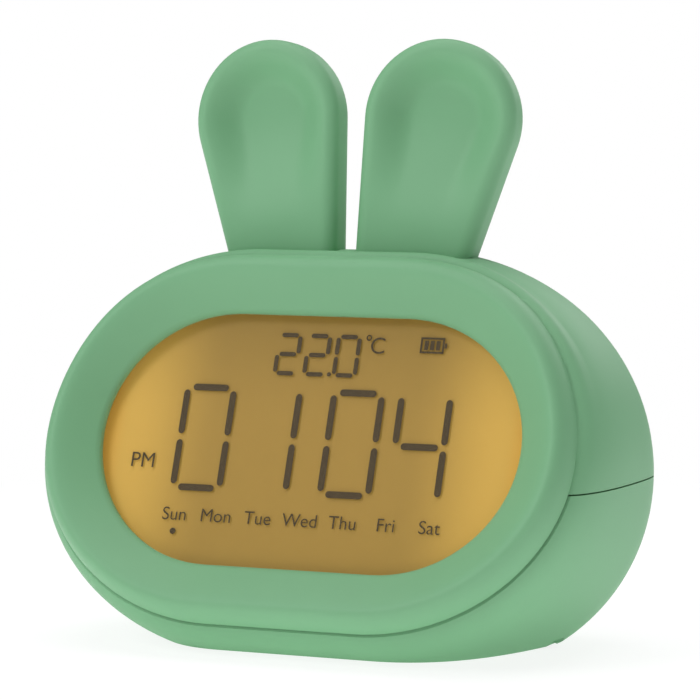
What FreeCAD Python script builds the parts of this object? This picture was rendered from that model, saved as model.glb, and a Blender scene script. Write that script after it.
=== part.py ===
import FreeCAD, Part
import os
import Sketcher
from math import atan2, cos, degrees, pi, radians, sin, sqrt
from FreeCAD import Placement, Rotation, Vector

# Alarm clock with two ears: a leaning round-ended front ring with a back-lit display, a dome behind it,
# and a lower shell that closes the dome from below. Millimetres, +Z up, front towards -Y.

DOC = FreeCAD.newDocument("ear_clock")
SHEET = DOC.addObject("Spreadsheet::Sheet", "sizes")

SIZES = {
    # front plane: the inner edge of the ring lies in it, and it leans back
    "face_lean": 20.2,
    "face_y": -16.8,
    "face_z": 44.4,
    # rear edge of the ring, where the dome starts: straight runs joined by half ellipses
    "seam_half_width": 59.35,
    "seam_half_height": 37.6,
    "seam_straight": 16.3,
    "seam_drop": 1.9,
    "seam_back": 0.3,
    "ring_height": 6.1,
    # inner edge of the ring, round the display
    "ring_side": 11.85,
    "ring_over": 10.45,
    "lip_straight": 18.6,
    # dome: swells behind the ring, then closes towards an upright rear wall
    "axis_fall": 11.5,
    "swell_side": 4.75,
    "swell_top": 7.3,
    "swell_bottom": 5.9,
    "widest_depth": 19.7,
    "rear_depth": 52.6,
    "vanish_beyond": 2.5,
    "rear_power": 5.0,
    "rear_root": 2.4,
    "wall": 2.0,
    "split_height": 36.4,
    "split_gap": 0.3,
    "base_height": 0.5,
    # display stack, from the front plane backwards
    "window_recess": 0.3,
    "lip_depth": 1.7,
    "window_flange": 0.8,
    "stack_overlap": 1.4,
    "stack_gap": 0.1,
    "glass_gap": 0.5,
    "glass_thickness": 2.0,
    "diffuser_thickness": 0.3,
    "guide_thickness": 2.5,
    "reflector_thickness": 0.2,
    "frame_floor": 1.5,
    "frame_rim": 1.3,
    "frame_inset": 1.0,
    "boss_radius": 2.2,
    "pilot_radius": 0.9,
    "screw_hole_radius": 1.1,
    "screw_shank_radius": 0.85,
    "frame_screw_u": 26.0,
    "tab_half_width": 15.0,
    "tab_length": 3.0,
    "flex_thickness": 0.15,
    "flex_bend": 1.2,
    "lamp_board_length": 14.0,
    "lamp_board_thickness": 0.8,
    "lamp_width": 2.6,
    "lamp_depth": 0.9,
    "lamp_height": 1.6,
    "lamp_pitch": 3.4,
    # main board
    "board_width": 64.0,
    "board_height": 38.0,
    "board_thickness": 1.6,
    "board_standoff": 4.0,
    "board_hole_u": 28.0,
    "board_hole_v": 15.0,
    # rear wall: push buttons
    "button_pitch": 16.0,
    "button_height": 47.0,
    "button_radius": 4.0,
    "button_clearance": 0.2,
    "button_proud": 1.2,
    "button_flange": 1.2,
    "button_flange_thickness": 1.0,
    "plunger_radius": 1.7,
    "plunger_proud": 1.0,
    "plunger_fit": 0.05,
    "switch_side": 6.0,
    "switch_depth": 3.5,
    "button_board_thickness": 1.4,
    "button_board_height": 11.0,
    # rear wall: loudspeaker
    "speaker_x": -18.0,
    "speaker_height": 21.5,
    "speaker_radius": 11.0,
    "speaker_depth": 7.0,
    "speaker_rib": 1.5,
    "speaker_clearance": 0.2,
    "gasket_thickness": 0.8,
    "grille_slot_width": 1.8,
    "grille_slot_pitch": 3.8,
    "grille_radius": 8.6,
    # rear wall: charging socket and slide switch on one level board
    "socket_x": 9.0,
    "slide_x": 21.0,
    "socket_board_top": 13.6,
    "socket_board_thickness": 1.2,
    "socket_board_width": 28.0,
    "socket_board_depth": 14.0,
    "socket_width": 8.9,
    "socket_height": 3.2,
    "socket_length": 7.4,
    "socket_skin": 0.3,
    "socket_corner": 1.4,
    "socket_clearance": 0.3,
    "slide_body_width": 10.0,
    "slide_body_height": 4.0,
    "slide_body_depth": 4.5,
    "slide_travel": 3.0,
    "knob_width": 2.4,
    "knob_height": 2.4,
    "knob_proud": 1.2,
    # floor of the lower shell
    "cell_radius": 9.1,
    "cell_length": 65.0,
    "cell_y": 5.0,
    "cell_clearance": 0.3,
    "saddle_x": 22.0,
    "saddle_width": 3.0,
    "strap_x": -12.0,
    "strap_width": 10.0,
    "strap_thickness": 1.2,
    "strap_clearance": 0.05,
    "strap_foot": 8.0,
    "post_x": 41.5,
    "post_y": 12.0,
    "post_radius": 3.2,
    "post_pilot_radius": 1.25,
    "post_end": 14.0,
    "well_radius": 4.6,
    "well_wall": 1.4,
    "foot_x": 26.0,
    "foot_front_y": -8.0,
    "foot_rear_y": 20.0,
    "foot_radius": 4.5,
    "foot_clearance": 0.1,
    "foot_recess": 1.0,
    "hook_u": 15.0,
    "hook_width": 8.0,
    # ears: a small and a large circle joined by tangents, rounded all round, dished in front
    "ear_x": 16.6,
    "ear_y": 8.6,
    "ear_z": 91.4,
    "ear_turn": 2.2,
    "ear_lean": 5.85,
    "ear_splay": 10.3,
    "ear_length": 19.0,
    "ear_root_radius": 15.2,
    "ear_tip_radius": 17.55,
    "ear_thickness": 10.5,
    "ear_front_round": 3.6,
    "ear_rear_round": 5.0,
    "dish_depth": 2.6,
    "dish_rim": 2.7,
    "dish_end": 12.6,
    "dish_fade": 0.8,
    "ear_wall": 2.0,
    "ear_cover_inset": 4.8,
    "ear_cover_thickness": 1.4,
    "spigot_x": 5.5,
    "spigot_radius": 2.4,
    "spigot_clearance": 0.15,
    "spigot_reach": 15.8,
}

WORKED_SIZES = {
    "lip_half_width": "seam_half_width - ring_side",
    "lip_half_height": "seam_half_height - ring_over",
}


def fill_sheet():
    rows = [*SIZES.items(), *((alias, f"={text}") for alias, text in WORKED_SIZES.items())]
    for row, (alias, entry) in enumerate(rows, start=1):
        SHEET.set(f"A{row}", alias)
        SHEET.set(f"B{row}", str(entry))
        SHEET.setAlias(f"B{row}", alias)
    DOC.recompute()


def size(alias):
    return float(getattr(SHEET, alias))


def cells(text):
    """Write each named size in an expression as its cell in the sheet."""
    words = sorted([*SIZES, *WORKED_SIZES], key=len, reverse=True)
    out, at = "", 0
    while at < len(text):
        word = next((w for w in words if text.startswith(w, at)), None)
        out += f"sizes.{word}" if word else text[at]
        at += len(word) if word else 1
    return out


# Levels of the display stack, measured along the front plane's normal
WINDOW_BACK = "(-lip_depth - stack_gap - window_flange)"
GLASS_BACK = f"({WINDOW_BACK} - glass_gap - glass_thickness)"
DIFFUSER_BACK = f"({GLASS_BACK} - stack_gap - diffuser_thickness)"
GUIDE_BACK = f"({DIFFUSER_BACK} - stack_gap - guide_thickness)"
REFLECTOR_BACK = f"({GUIDE_BACK} - stack_gap - reflector_thickness)"
FLOOR_FRONT = f"({REFLECTOR_BACK} - stack_gap)"
FLOOR_BACK = f"({FLOOR_FRONT} - frame_floor)"
BOARD_FRONT = f"({FLOOR_BACK} - board_standoff)"
BOARD_BACK = f"({BOARD_FRONT} - board_thickness)"

# Levels behind the rear wall, measured inwards from its outer face
FLANGE_FRONT = "(wall + button_clearance)"
FLANGE_BACK = f"({FLANGE_FRONT} + button_flange_thickness)"
SWITCH_FRONT = f"({FLANGE_BACK} + plunger_proud)"
SWITCH_BACK = f"({SWITCH_FRONT} + switch_depth)"
REAR_Y = ("(face_y - seam_drop * sin(face_lean) + seam_back * cos(face_lean)"
          " + rear_depth * cos(axis_fall))")
FLOOR_TOP = "(base_height + wall)"


def worked(text):
    """The number that an expression of named sizes gives, angles in degrees."""
    SHEET.set("D1", "=" + cells(text).replace("sizes.", ""))
    SHEET.recompute()
    number = SHEET.get("D1")
    return float(getattr(number, "Value", number))


def put(thing, frame, x="0", y="0", z="0"):
    """Place an object in one of the clock's frames, its position bound to the sheet.

    face: x to the right, y up the front plane, z out of it. rear: x to the right, y up, z into the body.
    """
    if frame == "face":
        thing.Placement = Placement(Vector(), Rotation(Vector(1, 0, 0), 70))
        thing.setExpression("Placement.Rotation.Angle", cells("90 - face_lean"))
        where = (x,
                 f"face_y + ({y}) * sin(face_lean) - ({z}) * cos(face_lean)",
                 f"face_z + ({y}) * cos(face_lean) + ({z}) * sin(face_lean)")
    elif frame == "rear":
        thing.Placement = Placement(Vector(), Rotation(Vector(1, 0, 0), 90))
        where = (x, f"{REAR_Y} - ({z})", y)
    else:
        where = (x, y, z)
    for axis, text in zip("xyz", where):
        thing.setExpression(f"Placement.Base.{axis}", cells(text))
    return thing


def block(name, frame, middle, spans, start=None):
    """A box centred on middle in x and y; along z it starts there. All are expressions."""
    box = DOC.addObject("Part::Box", name)
    for side, span in zip(("Length", "Width", "Height"), spans):
        box.setExpression(side, cells(span))
    x, y, z = middle
    return put(box, frame, f"({x}) - ({spans[0]}) / 2", f"({y}) - ({spans[1]}) / 2", z)


def rod(name, frame, foot, radius, length):
    """A cylinder that stands on foot along the frame's z."""
    cylinder = DOC.addObject("Part::Cylinder", name)
    cylinder.setExpression("Radius", cells(radius))
    cylinder.setExpression("Height", cells(length))
    return put(cylinder, frame, *foot)


def fused(name, parts):
    if len(parts) == 1:
        return parts[0]
    joined = DOC.addObject("Part::MultiFuse", name)
    joined.Shapes = parts
    joined.Refine = False
    return joined


def cut(name, base, tools):
    """The base less its tools, which are fused first."""
    result = DOC.addObject("Part::Cut", name)
    result.Base = base
    result.Tool = fused(f"{name}_tools", tools)
    result.Refine = False
    return result


def grouped(name, parts):
    """Separate solids that share one node."""
    group = DOC.addObject("Part::Compound", name)
    group.Links = parts
    return group


def formed(name, shape):
    """A form that no feature describes, with its shape worked out here."""
    feature = DOC.addObject("Part::Feature", name)
    feature.Shape = shape
    return feature


def bind_point(sketch, corner, x, y):
    """Tie a line's start to its distances from the sketch's origin."""
    for kind, text, axis in (("DistanceX", x, -2), ("DistanceY", y, -1)):
        if text == "0":
            sketch.addConstraint(Sketcher.Constraint("PointOnObject", corner, 1, axis))
        else:
            number = worked(text)
            index = sketch.addConstraint(Sketcher.Constraint(kind, -1, 1, corner, 1, number))
            sketch.setExpression(f"Constraints[{index}]", cells(text))


def outline(body, plane, corners):
    """A closed sketch of straight lines whose corners are bound to the sheet."""
    sketch = body.newObject("Sketcher::SketchObject", f"{body.Name}_outline")
    role = next(item for item in body.Origin.OriginFeatures if item.Role == plane)
    sketch.AttachmentSupport = [(role, "")]
    sketch.MapMode = "FlatFace"
    points = [Vector(worked(x), worked(y), 0) for x, y in corners]
    count = len(points)
    for index in range(count):
        sketch.addGeometry(Part.LineSegment(points[index], points[(index + 1) % count]), False)
    for index in range(count):
        sketch.addConstraint(Sketcher.Constraint("Coincident", index, 2, (index + 1) % count, 1))
    for index, (x, y) in enumerate(corners):
        bind_point(sketch, index, x, y)
    return sketch


def turned(name, frame, where, corners):
    """A body of revolution about its z: corners are (radius, height) expressions."""
    body = DOC.addObject("PartDesign::Body", name)
    sketch = outline(body, "XZ_Plane", corners)
    spin = body.newObject("PartDesign::Revolution", f"{name}_turn")
    spin.Profile = sketch
    spin.ReferenceAxis = (sketch, ["V_Axis"])
    spin.Angle = 360
    body.Tip = spin
    return put(body, frame, *where)


def plate(name, frame, where, corners, thickness, holes=()):
    """A flat body with round holes: corners and hole centres are expressions."""
    body = DOC.addObject("PartDesign::Body", name)
    sketch = outline(body, "XY_Plane", corners)
    for x, y, radius in holes:
        centre = Vector(worked(x), worked(y), 0)
        ring = sketch.addGeometry(Part.Circle(centre, Vector(0, 0, 1), worked(radius)), False)
        for kind, text in (("DistanceX", x), ("DistanceY", y)):
            index = sketch.addConstraint(
                Sketcher.Constraint(kind, -1, 1, ring, 3, worked(text)))
            sketch.setExpression(f"Constraints[{index}]", cells(text))
        index = sketch.addConstraint(Sketcher.Constraint("Radius", ring, worked(radius)))
        sketch.setExpression(f"Constraints[{index}]", cells(radius))
    pad = body.newObject("PartDesign::Pad", f"{name}_pad")
    pad.Profile = sketch
    pad.setExpression("Length", cells(thickness))
    body.Tip = pad
    return put(body, frame, *where)


def rectangle(half_x, half_y):
    return [(f"-({half_x})", f"-({half_y})"), (half_x, f"-({half_y})"),
            (half_x, half_y), (f"-({half_x})", half_y)]


def face_placement():
    return Placement(Vector(0, size("face_y"), size("face_z")),
                     Rotation(Vector(1, 0, 0), 90 - size("face_lean")))


def half_ellipse(middle_x, middle_y, reach_x, reach_y, start):
    """Half an ellipse from start degrees, counter-clockwise, as two cubic quarters."""
    handle = 4 / 3 * (sqrt(2) - 1)
    poles = []
    for turn in (start, start + 90):
        x, y = cos(radians(turn)), sin(radians(turn))
        poles += [(x, y), (x - handle * y, y + handle * x), (handle * x - y, handle * y + x)]
    poles.append((-y, x))
    curve = Part.BSplineCurve()
    curve.buildFromPolesMultsKnots(
        [Vector(middle_x + reach_x * x, middle_y + reach_y * y, 0) for x, y in poles],
        [4, 3, 4], [0, 1, 2], False, 3)
    return curve.toShape()


def oval(half_width, half_height, straight, middle_y=0.0):
    """A closed outline: two straight runs joined by half ellipses."""
    reach = half_width - straight
    right = half_ellipse(straight, middle_y, reach, half_height, -90)
    left = half_ellipse(-straight, middle_y, reach, half_height, 90)
    top, bottom = middle_y + half_height, middle_y - half_height
    over = Part.LineSegment(Vector(straight, top, 0), Vector(-straight, top, 0)).toShape()
    under = Part.LineSegment(Vector(-straight, bottom, 0), Vector(straight, bottom, 0)).toShape()
    return Part.Wire([right, over, left, under])


def ring_oval(share, level, grow=0.0):
    """An outline between the lip (share 0) and the seam (share 1), placed level out of the front."""
    mixed = {part: size(f"lip_{part}") + share * (size(f"seam_{part}") - size(f"lip_{part}"))
             for part in ("half_width", "half_height", "straight")}
    wire = oval(mixed["half_width"] + grow, mixed["half_height"] + grow, mixed["straight"],
                -share * size("seam_drop"))
    wire.Placement = face_placement() * Placement(Vector(0, 0, level), Rotation())
    return wire


def ring_solid(inset):
    """The round front ring, or with an inset the hollow inside it."""
    steps = 6
    height = size("ring_height") - inset
    sections = []
    for step in range(steps + 1):
        angle = pi * step / steps
        share = (1 + cos(angle)) / 2
        level = height * sin(angle) - size("seam_back")
        sections.append(ring_oval(share, level, grow=-inset * cos(angle)))
    skin = Part.makeLoft(sections, False, inset > 0, False, 3)
    floor = Part.makeFace([sections[0], sections[-1]], "Part::FaceMakerBullseye")
    shell = Part.Shell(skin.Faces + floor.Faces)
    shell.sewShape()
    solid = Part.Solid(shell)
    if solid.Volume < 0:
        solid.reverse()
    return solid


def dome_size(depth, seam, growth, inset):
    """Half a dome section's size at a depth behind the seam."""
    widest = size("widest_depth")
    if depth <= widest:
        return seam + growth * sqrt(1 - (1 - depth / widest) ** 2) - inset
    vanish = size("rear_depth") + size("vanish_beyond") - inset
    along = (depth - widest) / (vanish - widest)
    return (seam + growth) * (1 - along ** size("rear_power")) ** (1 / size("rear_root")) - inset


def dome_section(depth, inset, end):
    """The dome's outline at a depth: it leans as the front does at first and is upright at the end."""
    side = dome_size(depth, size("seam_half_width"), size("swell_side"), inset)
    top = dome_size(depth, size("seam_half_height"), size("swell_top"), inset)
    bottom = dome_size(depth, size("seam_half_height"), size("swell_bottom"), inset)
    straight = size("seam_straight") * side / size("seam_half_width")
    wire = oval(side, (top + bottom) / 2, straight, (top - bottom) / 2)
    fall = radians(size("axis_fall"))
    seam = face_placement().multVec(Vector(0, -size("seam_drop"), -size("seam_back")))
    middle = seam + Vector(0, depth * cos(fall), -depth * sin(fall))
    lean = size("face_lean") * (1 - depth / end)
    wire.Placement = Placement(middle, Rotation(Vector(1, 0, 0), 90 - lean))
    return wire


def dome_solid(inset):
    """The dome behind the ring, or with an inset the hollow inside it."""
    widest = size("widest_depth")
    end = size("rear_depth") - inset / cos(radians(size("axis_fall")))
    start = size("lip_depth") - size("seam_back") if inset else 0.0
    swelling = [start + (widest - start) * (1 - cos(pi / 2 * step / 3)) for step in range(4)]
    closing = [widest + (end - widest) * sin(pi / 2 * step / 5) for step in range(1, 6)]
    sections = [dome_section(depth, inset, end) for depth in swelling + closing]
    return Part.makeLoft(sections, True, inset > 0, False, 3)


def lid(height):
    """Everything above a level, as one large box."""
    reach = 400.0
    box = Part.makeBox(reach, reach, reach)
    box.translate(Vector(-reach / 2, -reach / 2, height))
    return box


def behind_seam(gap):
    """Everything behind the seam plane, less a gap."""
    reach = 400.0
    box = Part.makeBox(reach, reach, reach)
    box.Placement = face_placement() * Placement(
        Vector(-reach / 2, -reach / 2, -size("seam_back") - gap - reach), Rotation())
    return box


def hollow_body():
    """Ring and dome as one thin wall, open at the display and flat underneath."""
    outer = dome_solid(0.0).fuse(ring_solid(0.0)).common(lid(size("base_height")))
    wall = size("wall")
    back = -size("lip_depth")
    channel_face = Part.makeFace([ring_oval(1.0, back, -wall), ring_oval(0.0, back, wall)],
                                 "Part::FaceMakerBullseye")
    outwards = face_placement().Rotation.multVec(Vector(0, 0, 1))
    channel = channel_face.extrude(outwards * (size("lip_depth") + 0.4))
    clearance = 1.0
    pocket = Part.Face(ring_oval(1.0, back - clearance, -wall)).extrude(outwards * clearance)
    inner = dome_solid(wall).common(lid(size("base_height") + wall))
    bead = ring_solid(wall)
    opening = Part.Face(ring_oval(0.0, back)).extrude(outwards * (clearance - back))
    return outer.cut([inner, channel, bead, pocket, opening])


def lower_region(gap):
    """What the lower shell takes: behind the ring's rear edge, below the split, and outside the lip."""
    lip = Part.Face(ring_oval(0.5, 1.0)).extrude(
        face_placement().Rotation.multVec(Vector(0, 0, -size("lip_depth") - 1.5)))
    return behind_seam(gap).cut([lid(size("split_height") - gap), lip])


def upper_housing(shell):
    """The ring and the dome above the level split, with its bosses and posts."""
    form = formed("upper_form", shell.cut(lower_region(0.0)))
    roof = "(ring_height - wall + 0.6)"
    added, removed = [], []
    for number, (u, v) in enumerate(frame_screw_places(), start=1):
        added.append(rod(f"frame_boss_{number}", "face", (u, v, FLOOR_FRONT),
                         "boss_radius", f"{roof} - {FLOOR_FRONT}"))
        removed.append(rod(f"frame_pilot_{number}", "face", (u, v, FLOOR_FRONT),
                           "pilot_radius", "6"))
    for number, x in enumerate(board_boss_places(), start=1):
        added.append(rod(f"button_boss_{number}", "rear", (x, "button_height", "wall * 0.5"),
                         "boss_radius", f"{SWITCH_BACK} - wall * 0.5"))
        removed.append(rod(f"button_pilot_{number}", "rear", (x, "button_height", "wall + 0.6"),
                           "pilot_radius", SWITCH_BACK))
    for number, x in enumerate(button_places(), start=1):
        removed.append(rod(f"button_hole_{number}", "rear", (x, "button_height", "-2"),
                           "button_radius + button_clearance", "wall + 3"))
    under_roof = formed("under_roof", dome_solid(size("wall") / 2))
    for side in (-1, 1):
        post = DOC.addObject("Part::Common", f"post_{side + 2}")
        post.Base = rod(f"post_rod_{side + 2}", "world",
                        (f"{side} * post_x", "post_y", "post_end"), "post_radius", "2 * split_height")
        post.Tool = under_roof
        added.append(post)
        removed.append(rod(f"post_pilot_{side + 2}", "world",
                           (f"{side} * post_x", "post_y", "post_end"), "post_pilot_radius", "14"))
        for number, x in enumerate(("-spigot_x", "spigot_x"), start=1):
            removed.append(ear_rod(f"ear_hole_{side + 2}_{number}", side, x, "-spigot_reach - 4",
                                   "spigot_radius + spigot_clearance", "spigot_reach - 1"))
    return cut("upper_housing", fused("upper_solid", [form] + added), removed)


def lower_housing(shell):
    """The lower shell behind the ring, with its wells, saddles and rear openings."""
    form = formed("lower_form", shell.common(lower_region(size("split_gap"))))
    added, removed = [], []
    for side in (-1, 1):
        x = f"{side} * post_x"
        added.append(rod(f"well_{side + 2}", "world", (x, "post_y", "base_height + wall * 0.5"),
                         "well_radius", "post_end - base_height - wall * 0.5"))
        removed.append(rod(f"well_bore_{side + 2}", "world", (x, "post_y", "-1"),
                           "well_radius - well_wall", "post_end - wall + 1"))
        removed.append(rod(f"well_hole_{side + 2}", "world", (x, "post_y", "post_end - wall - 1"),
                           "1.4", "wall + 2"))
        added.append(block(f"saddle_{side + 2}", "world",
                           (f"{side} * saddle_x", "cell_y", "base_height + wall * 0.5"),
                           ("saddle_width", "2 * cell_radius + 4", "cell_radius * 0.8 + wall")))
        added.append(block(f"hook_root_{side + 2}", "face",
                           (f"{side} * hook_u", "-seam_drop - seam_half_height + wall + 0.6", "-6"),
                           ("hook_width", "3.4", "5")))
        added.append(block(f"hook_{side + 2}", "face",
                           (f"{side} * hook_u", "-seam_drop - seam_half_height + wall + 1.5", "-6"),
                           ("hook_width", "1.6", "7.5")))
        added.append(rod(f"strap_post_{side + 2}", "world",
                         ("strap_x", f"cell_y + {side} * (cell_radius + strap_foot / 2)",
                          "base_height + wall * 0.5"), "boss_radius", "cell_radius + wall * 0.5"))
        removed.append(rod(f"strap_pilot_{side + 2}", "world",
                           ("strap_x", f"cell_y + {side} * (cell_radius + strap_foot / 2)",
                            "base_height + wall"), "pilot_radius", "cell_radius + 5"))
    removed.append(cell_rod("cell_seat", "cell_radius + cell_clearance"))
    for number, (x, y) in enumerate(foot_places(), start=1):
        removed.append(rod(f"foot_recess_{number}", "world", (x, y, "-1"), "foot_radius + foot_clearance",
                           "base_height + foot_recess + 1"))
    added.append(cut("speaker_rib", rod("rib_outside", "rear",
                                        ("speaker_x", "speaker_height", "wall * 0.5"),
                                        "speaker_radius + speaker_rib", "wall * 0.5 + 3"),
                     [rod("rib_inside", "rear", ("speaker_x", "speaker_height", "wall * 0.5"),
                          "speaker_radius + speaker_clearance", "wall * 0.5 + 4")]))
    for number in range(-2, 3):
        offset = f"{number} * grille_slot_pitch"
        removed.append(block(f"grille_slot_{number + 3}", "rear",
                             (f"speaker_x + {offset}", "speaker_height", "-1"),
                             ("grille_slot_width",
                              f"2 * sqrt(grille_radius ^ 2 - ({offset}) ^ 2)", "wall + 2")))
    removed.append(block("socket_hole", "rear",
                         ("socket_x", "socket_board_top + socket_height / 2", "-1"),
                         ("socket_width + 2 * socket_clearance", "socket_height + 2 * socket_clearance",
                            "wall + 2")))
    removed.append(block("slide_slot", "rear",
                         ("slide_x + slide_travel / 2", "socket_board_top + slide_body_height / 2",
                          "-1"),
                         ("knob_width + slide_travel + 0.6", "knob_height + 0.6", "wall + 2")))
    for number, (x, depth) in enumerate(socket_board_places(), start=1):
        under = "(socket_board_top - socket_board_thickness)"
        added.append(rod(f"socket_boss_{number}", "world",
                         (x, f"{REAR_Y} - ({depth})", "base_height + wall * 0.5"),
                         "boss_radius", f"{under} - base_height - wall * 0.5"))
        removed.append(rod(f"socket_pilot_{number}", "world",
                           (x, f"{REAR_Y} - ({depth})", "base_height + wall"),
                           "pilot_radius", under))
    return cut("lower_housing", fused("lower_solid", [form] + added), removed)


def frame_screw_places():
    """Half way between the lip and the seam: two at the ends, two over and two under the display."""
    middle = "(-seam_drop / 2)"
    width = "((lip_half_width + seam_half_width) / 2)"
    height = "((lip_half_height + seam_half_height) / 2)"
    straight = "((lip_straight + seam_straight) / 2)"
    rise = (f"{height} * sqrt(1 - ((frame_screw_u - {straight})"
            f" / ({width} - {straight})) ^ 2)")
    places = [(f"-{width}", middle), (width, middle)]
    for u in ("-frame_screw_u", "frame_screw_u"):
        places.append((u, f"{middle} + {rise}"))
        places.append((u, f"{middle} - {rise}"))
    return places


def board_boss_places():
    return [f"{step} * button_pitch" for step in (-2, -1, 1, 2)]


def button_places():
    return [f"{step} * button_pitch" for step in (-1.5, -0.5, 0.5, 1.5)]


def foot_places():
    return [(f"{side} * foot_x", y) for side in (-1, 1) for y in ("foot_front_y", "foot_rear_y")]


def socket_board_places():
    middle = "((socket_x + slide_x) / 2)"
    spread = "(socket_board_width / 2 - 3)"
    return [(f"{middle} - {spread}", "wall + socket_board_depth - 2.4"),
            (f"{middle} + {spread}", "wall + socket_board_depth - 2.4")]


def cell_rod(name, radius):
    """A cylinder along the cell's axis, which runs from side to side."""
    cylinder = DOC.addObject("Part::Cylinder", name)
    cylinder.setExpression("Radius", cells(radius))
    cylinder.setExpression("Height", cells("cell_length"))
    cylinder.Placement = Placement(Vector(), Rotation(Vector(0, 1, 0), 90))
    cylinder.setExpression("Placement.Base.x", cells("-cell_length / 2"))
    cylinder.setExpression("Placement.Base.y", cells("cell_y"))
    cylinder.setExpression("Placement.Base.z", cells(f"{FLOOR_TOP} + cell_radius + cell_clearance"))
    return cylinder


def ear_placement(side):
    turn = Rotation(Vector(0, 0, 1), side * size("ear_turn"))
    lean = Rotation(Vector(1, 0, 0), -size("ear_lean"))
    splay = Rotation(Vector(0, 1, 0), side * size("ear_splay"))
    return Placement(Vector(side * size("ear_x"), size("ear_y"), size("ear_z")),
                     turn.multiply(lean).multiply(splay))


def ear_rod(name, side, x, foot, radius, length):
    """A cylinder along an ear's own upright axis."""
    cylinder = DOC.addObject("Part::Cylinder", name)
    cylinder.setExpression("Radius", cells(radius))
    cylinder.setExpression("Height", cells(length))
    cylinder.Placement = ear_placement(side) * Placement(
        Vector(worked(x), 0, worked(foot)), Rotation())
    return cylinder


def teardrop(inset, depth, root_rise=0.0):
    """An ear's outline, inset all round, at a depth from its middle plane."""
    low, high = size("ear_root_radius") - inset, size("ear_tip_radius") - inset
    root, tip = root_rise, size("ear_length")
    slope = (low - high) / (tip - root)
    across = sqrt(1 - slope ** 2)
    right_low = Vector(low * across, depth, root + low * slope)
    right_high = Vector(high * across, depth, tip + high * slope)
    left_low = Vector(-right_low.x, depth, right_low.z)
    left_high = Vector(-right_high.x, depth, right_high.z)
    edges = [Part.LineSegment(right_low, right_high),
             Part.Arc(right_high, Vector(0, depth, tip + high), left_high),
             Part.LineSegment(left_high, left_low),
             Part.Arc(left_low, Vector(0, depth, root - low), right_low)]
    return Part.Wire([edge.toShape() for edge in edges])


def slab(inset, front, back, root_rise=0.0):
    return Part.Face(teardrop(inset, front, root_rise)).extrude(Vector(0, back - front, 0))


def ear_form():
    """An ear in its own frame: one skin from the flat back round the rim and down into the dish."""
    half, deep = size("ear_thickness") / 2, size("dish_depth")
    back, front, rim = size("ear_rear_round"), size("ear_front_round"), size("dish_rim")
    rear = [teardrop(back * (1 - sin(angle)), half - back * (1 - cos(angle)))
            for angle in (0.0, pi / 6, pi / 3, pi / 2)]
    crest = [teardrop(rim * share, front * fall - half)
             for share, fall in ((0.0, 1.0), (0.2, 0.36), (1.0, 0.0))]
    dish = [dish_outline(rim + (size("dish_end") - rim) * share, deep * fall - half)
            for share, fall in ((0.22, 0.12), (0.5, 0.62), (0.8, 0.96), (1.0, 1.0))]
    sections = rear + crest + dish
    skin = Part.makeLoft(sections, False, False, False, 3)
    solid = Part.Solid(Part.Shell(skin.Faces + [Part.Face(sections[0]), Part.Face(sections[-1])]))
    if solid.Volume < 0:
        solid.reverse()
    return solid


def dish_outline(inset, depth):
    """A level of the dish: as deep as asked at the tip, and nearer to the front at the root."""
    wire = teardrop(inset, depth)
    tip = Vector(0, depth, size("ear_length") + size("ear_tip_radius") - inset)
    height = tip.z + size("ear_root_radius") - inset
    rise = (depth + size("ear_thickness") / 2) * size("dish_fade")
    wire.rotate(tip, Vector(1, 0, 0), -degrees(atan2(rise, height)))
    return wire


def ear(name, side, dome):
    """One ear: dished in front, hollow behind, its foot cut to the dome, with two spigots."""
    half = size("ear_thickness") / 2
    wall = size("ear_wall")
    cavity_front = -half + size("dish_depth") + wall
    cover_front = half - size("ear_cover_thickness") - 0.1
    ledge = cover_front - 0.8
    form = ear_form()
    hollow = slab(wall + 0.6, cavity_front, ledge, 4.0)
    mouth = slab(size("ear_cover_inset"), ledge - 0.1, cover_front + 0.1, 4.0).fuse(
        slab(size("ear_cover_inset") - 0.8, cover_front, half + 1, 4.0))
    body = form.cut([hollow, mouth])
    body.Placement = ear_placement(side)
    seated = formed(f"{name}_seated", body.cut(dome))
    spigots, holes = [], []
    for number, x in enumerate(("-spigot_x", "spigot_x"), start=1):
        spigots.append(ear_rod(f"{name}_spigot_{number}", side, x, "-spigot_reach",
                               "spigot_radius", "spigot_reach - 6"))
        holes.append(ear_rod(f"{name}_pilot_{number}", side, x, "-spigot_reach - 1",
                             "pilot_radius", "9"))
    return cut(name, fused(f"{name}_solid", [seated] + spigots), holes)


def ear_back(name, side):
    """The inset cover behind an ear."""
    half = size("ear_thickness") / 2
    front = half - size("ear_cover_thickness")
    body = slab(size("ear_cover_inset") - 0.7, front, half, 4.0)
    body.Placement = ear_placement(side)
    return formed(name, body)


def ear_screws():
    """Screws with wide heads that draw the ears' spigots into the dome."""
    screws = []
    for side in (-1, 1):
        for number, x in enumerate(("-spigot_x", "spigot_x"), start=1):
            piece = turned(f"ear_screw_{side + 2}_{number}", "world", ("0", "0", "0"), [
                ("0", "-1.6"), ("3.4", "-1.6"), ("3.4", "0"), ("screw_shank_radius", "0"),
                ("screw_shank_radius", "7"), ("0", "7")])
            for axis in "xyz":
                piece.setExpression(f"Placement.Base.{axis}", None)
            piece.Placement = ear_placement(side) * Placement(
                Vector(worked(x), 0, worked("-spigot_reach")), Rotation())
            screws.append(piece)
    return grouped("ear_screws", screws)


def oval_slab(name, grow, back, thickness, share=0.0):
    """A flat piece with the display's outline, grown all round, from its back level forwards."""
    feature = DOC.addObject("Part::Extrusion", name)
    wire = ring_oval(share, worked(back), grow)
    feature.Base = formed(f"{name}_outline", Part.Face(wire))
    feature.DirMode = "Custom"
    feature.Dir = face_placement().Rotation.multVec(Vector(0, 0, 1))
    feature.setExpression("LengthFwd", cells(thickness))
    feature.Solid = True
    return feature


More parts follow.
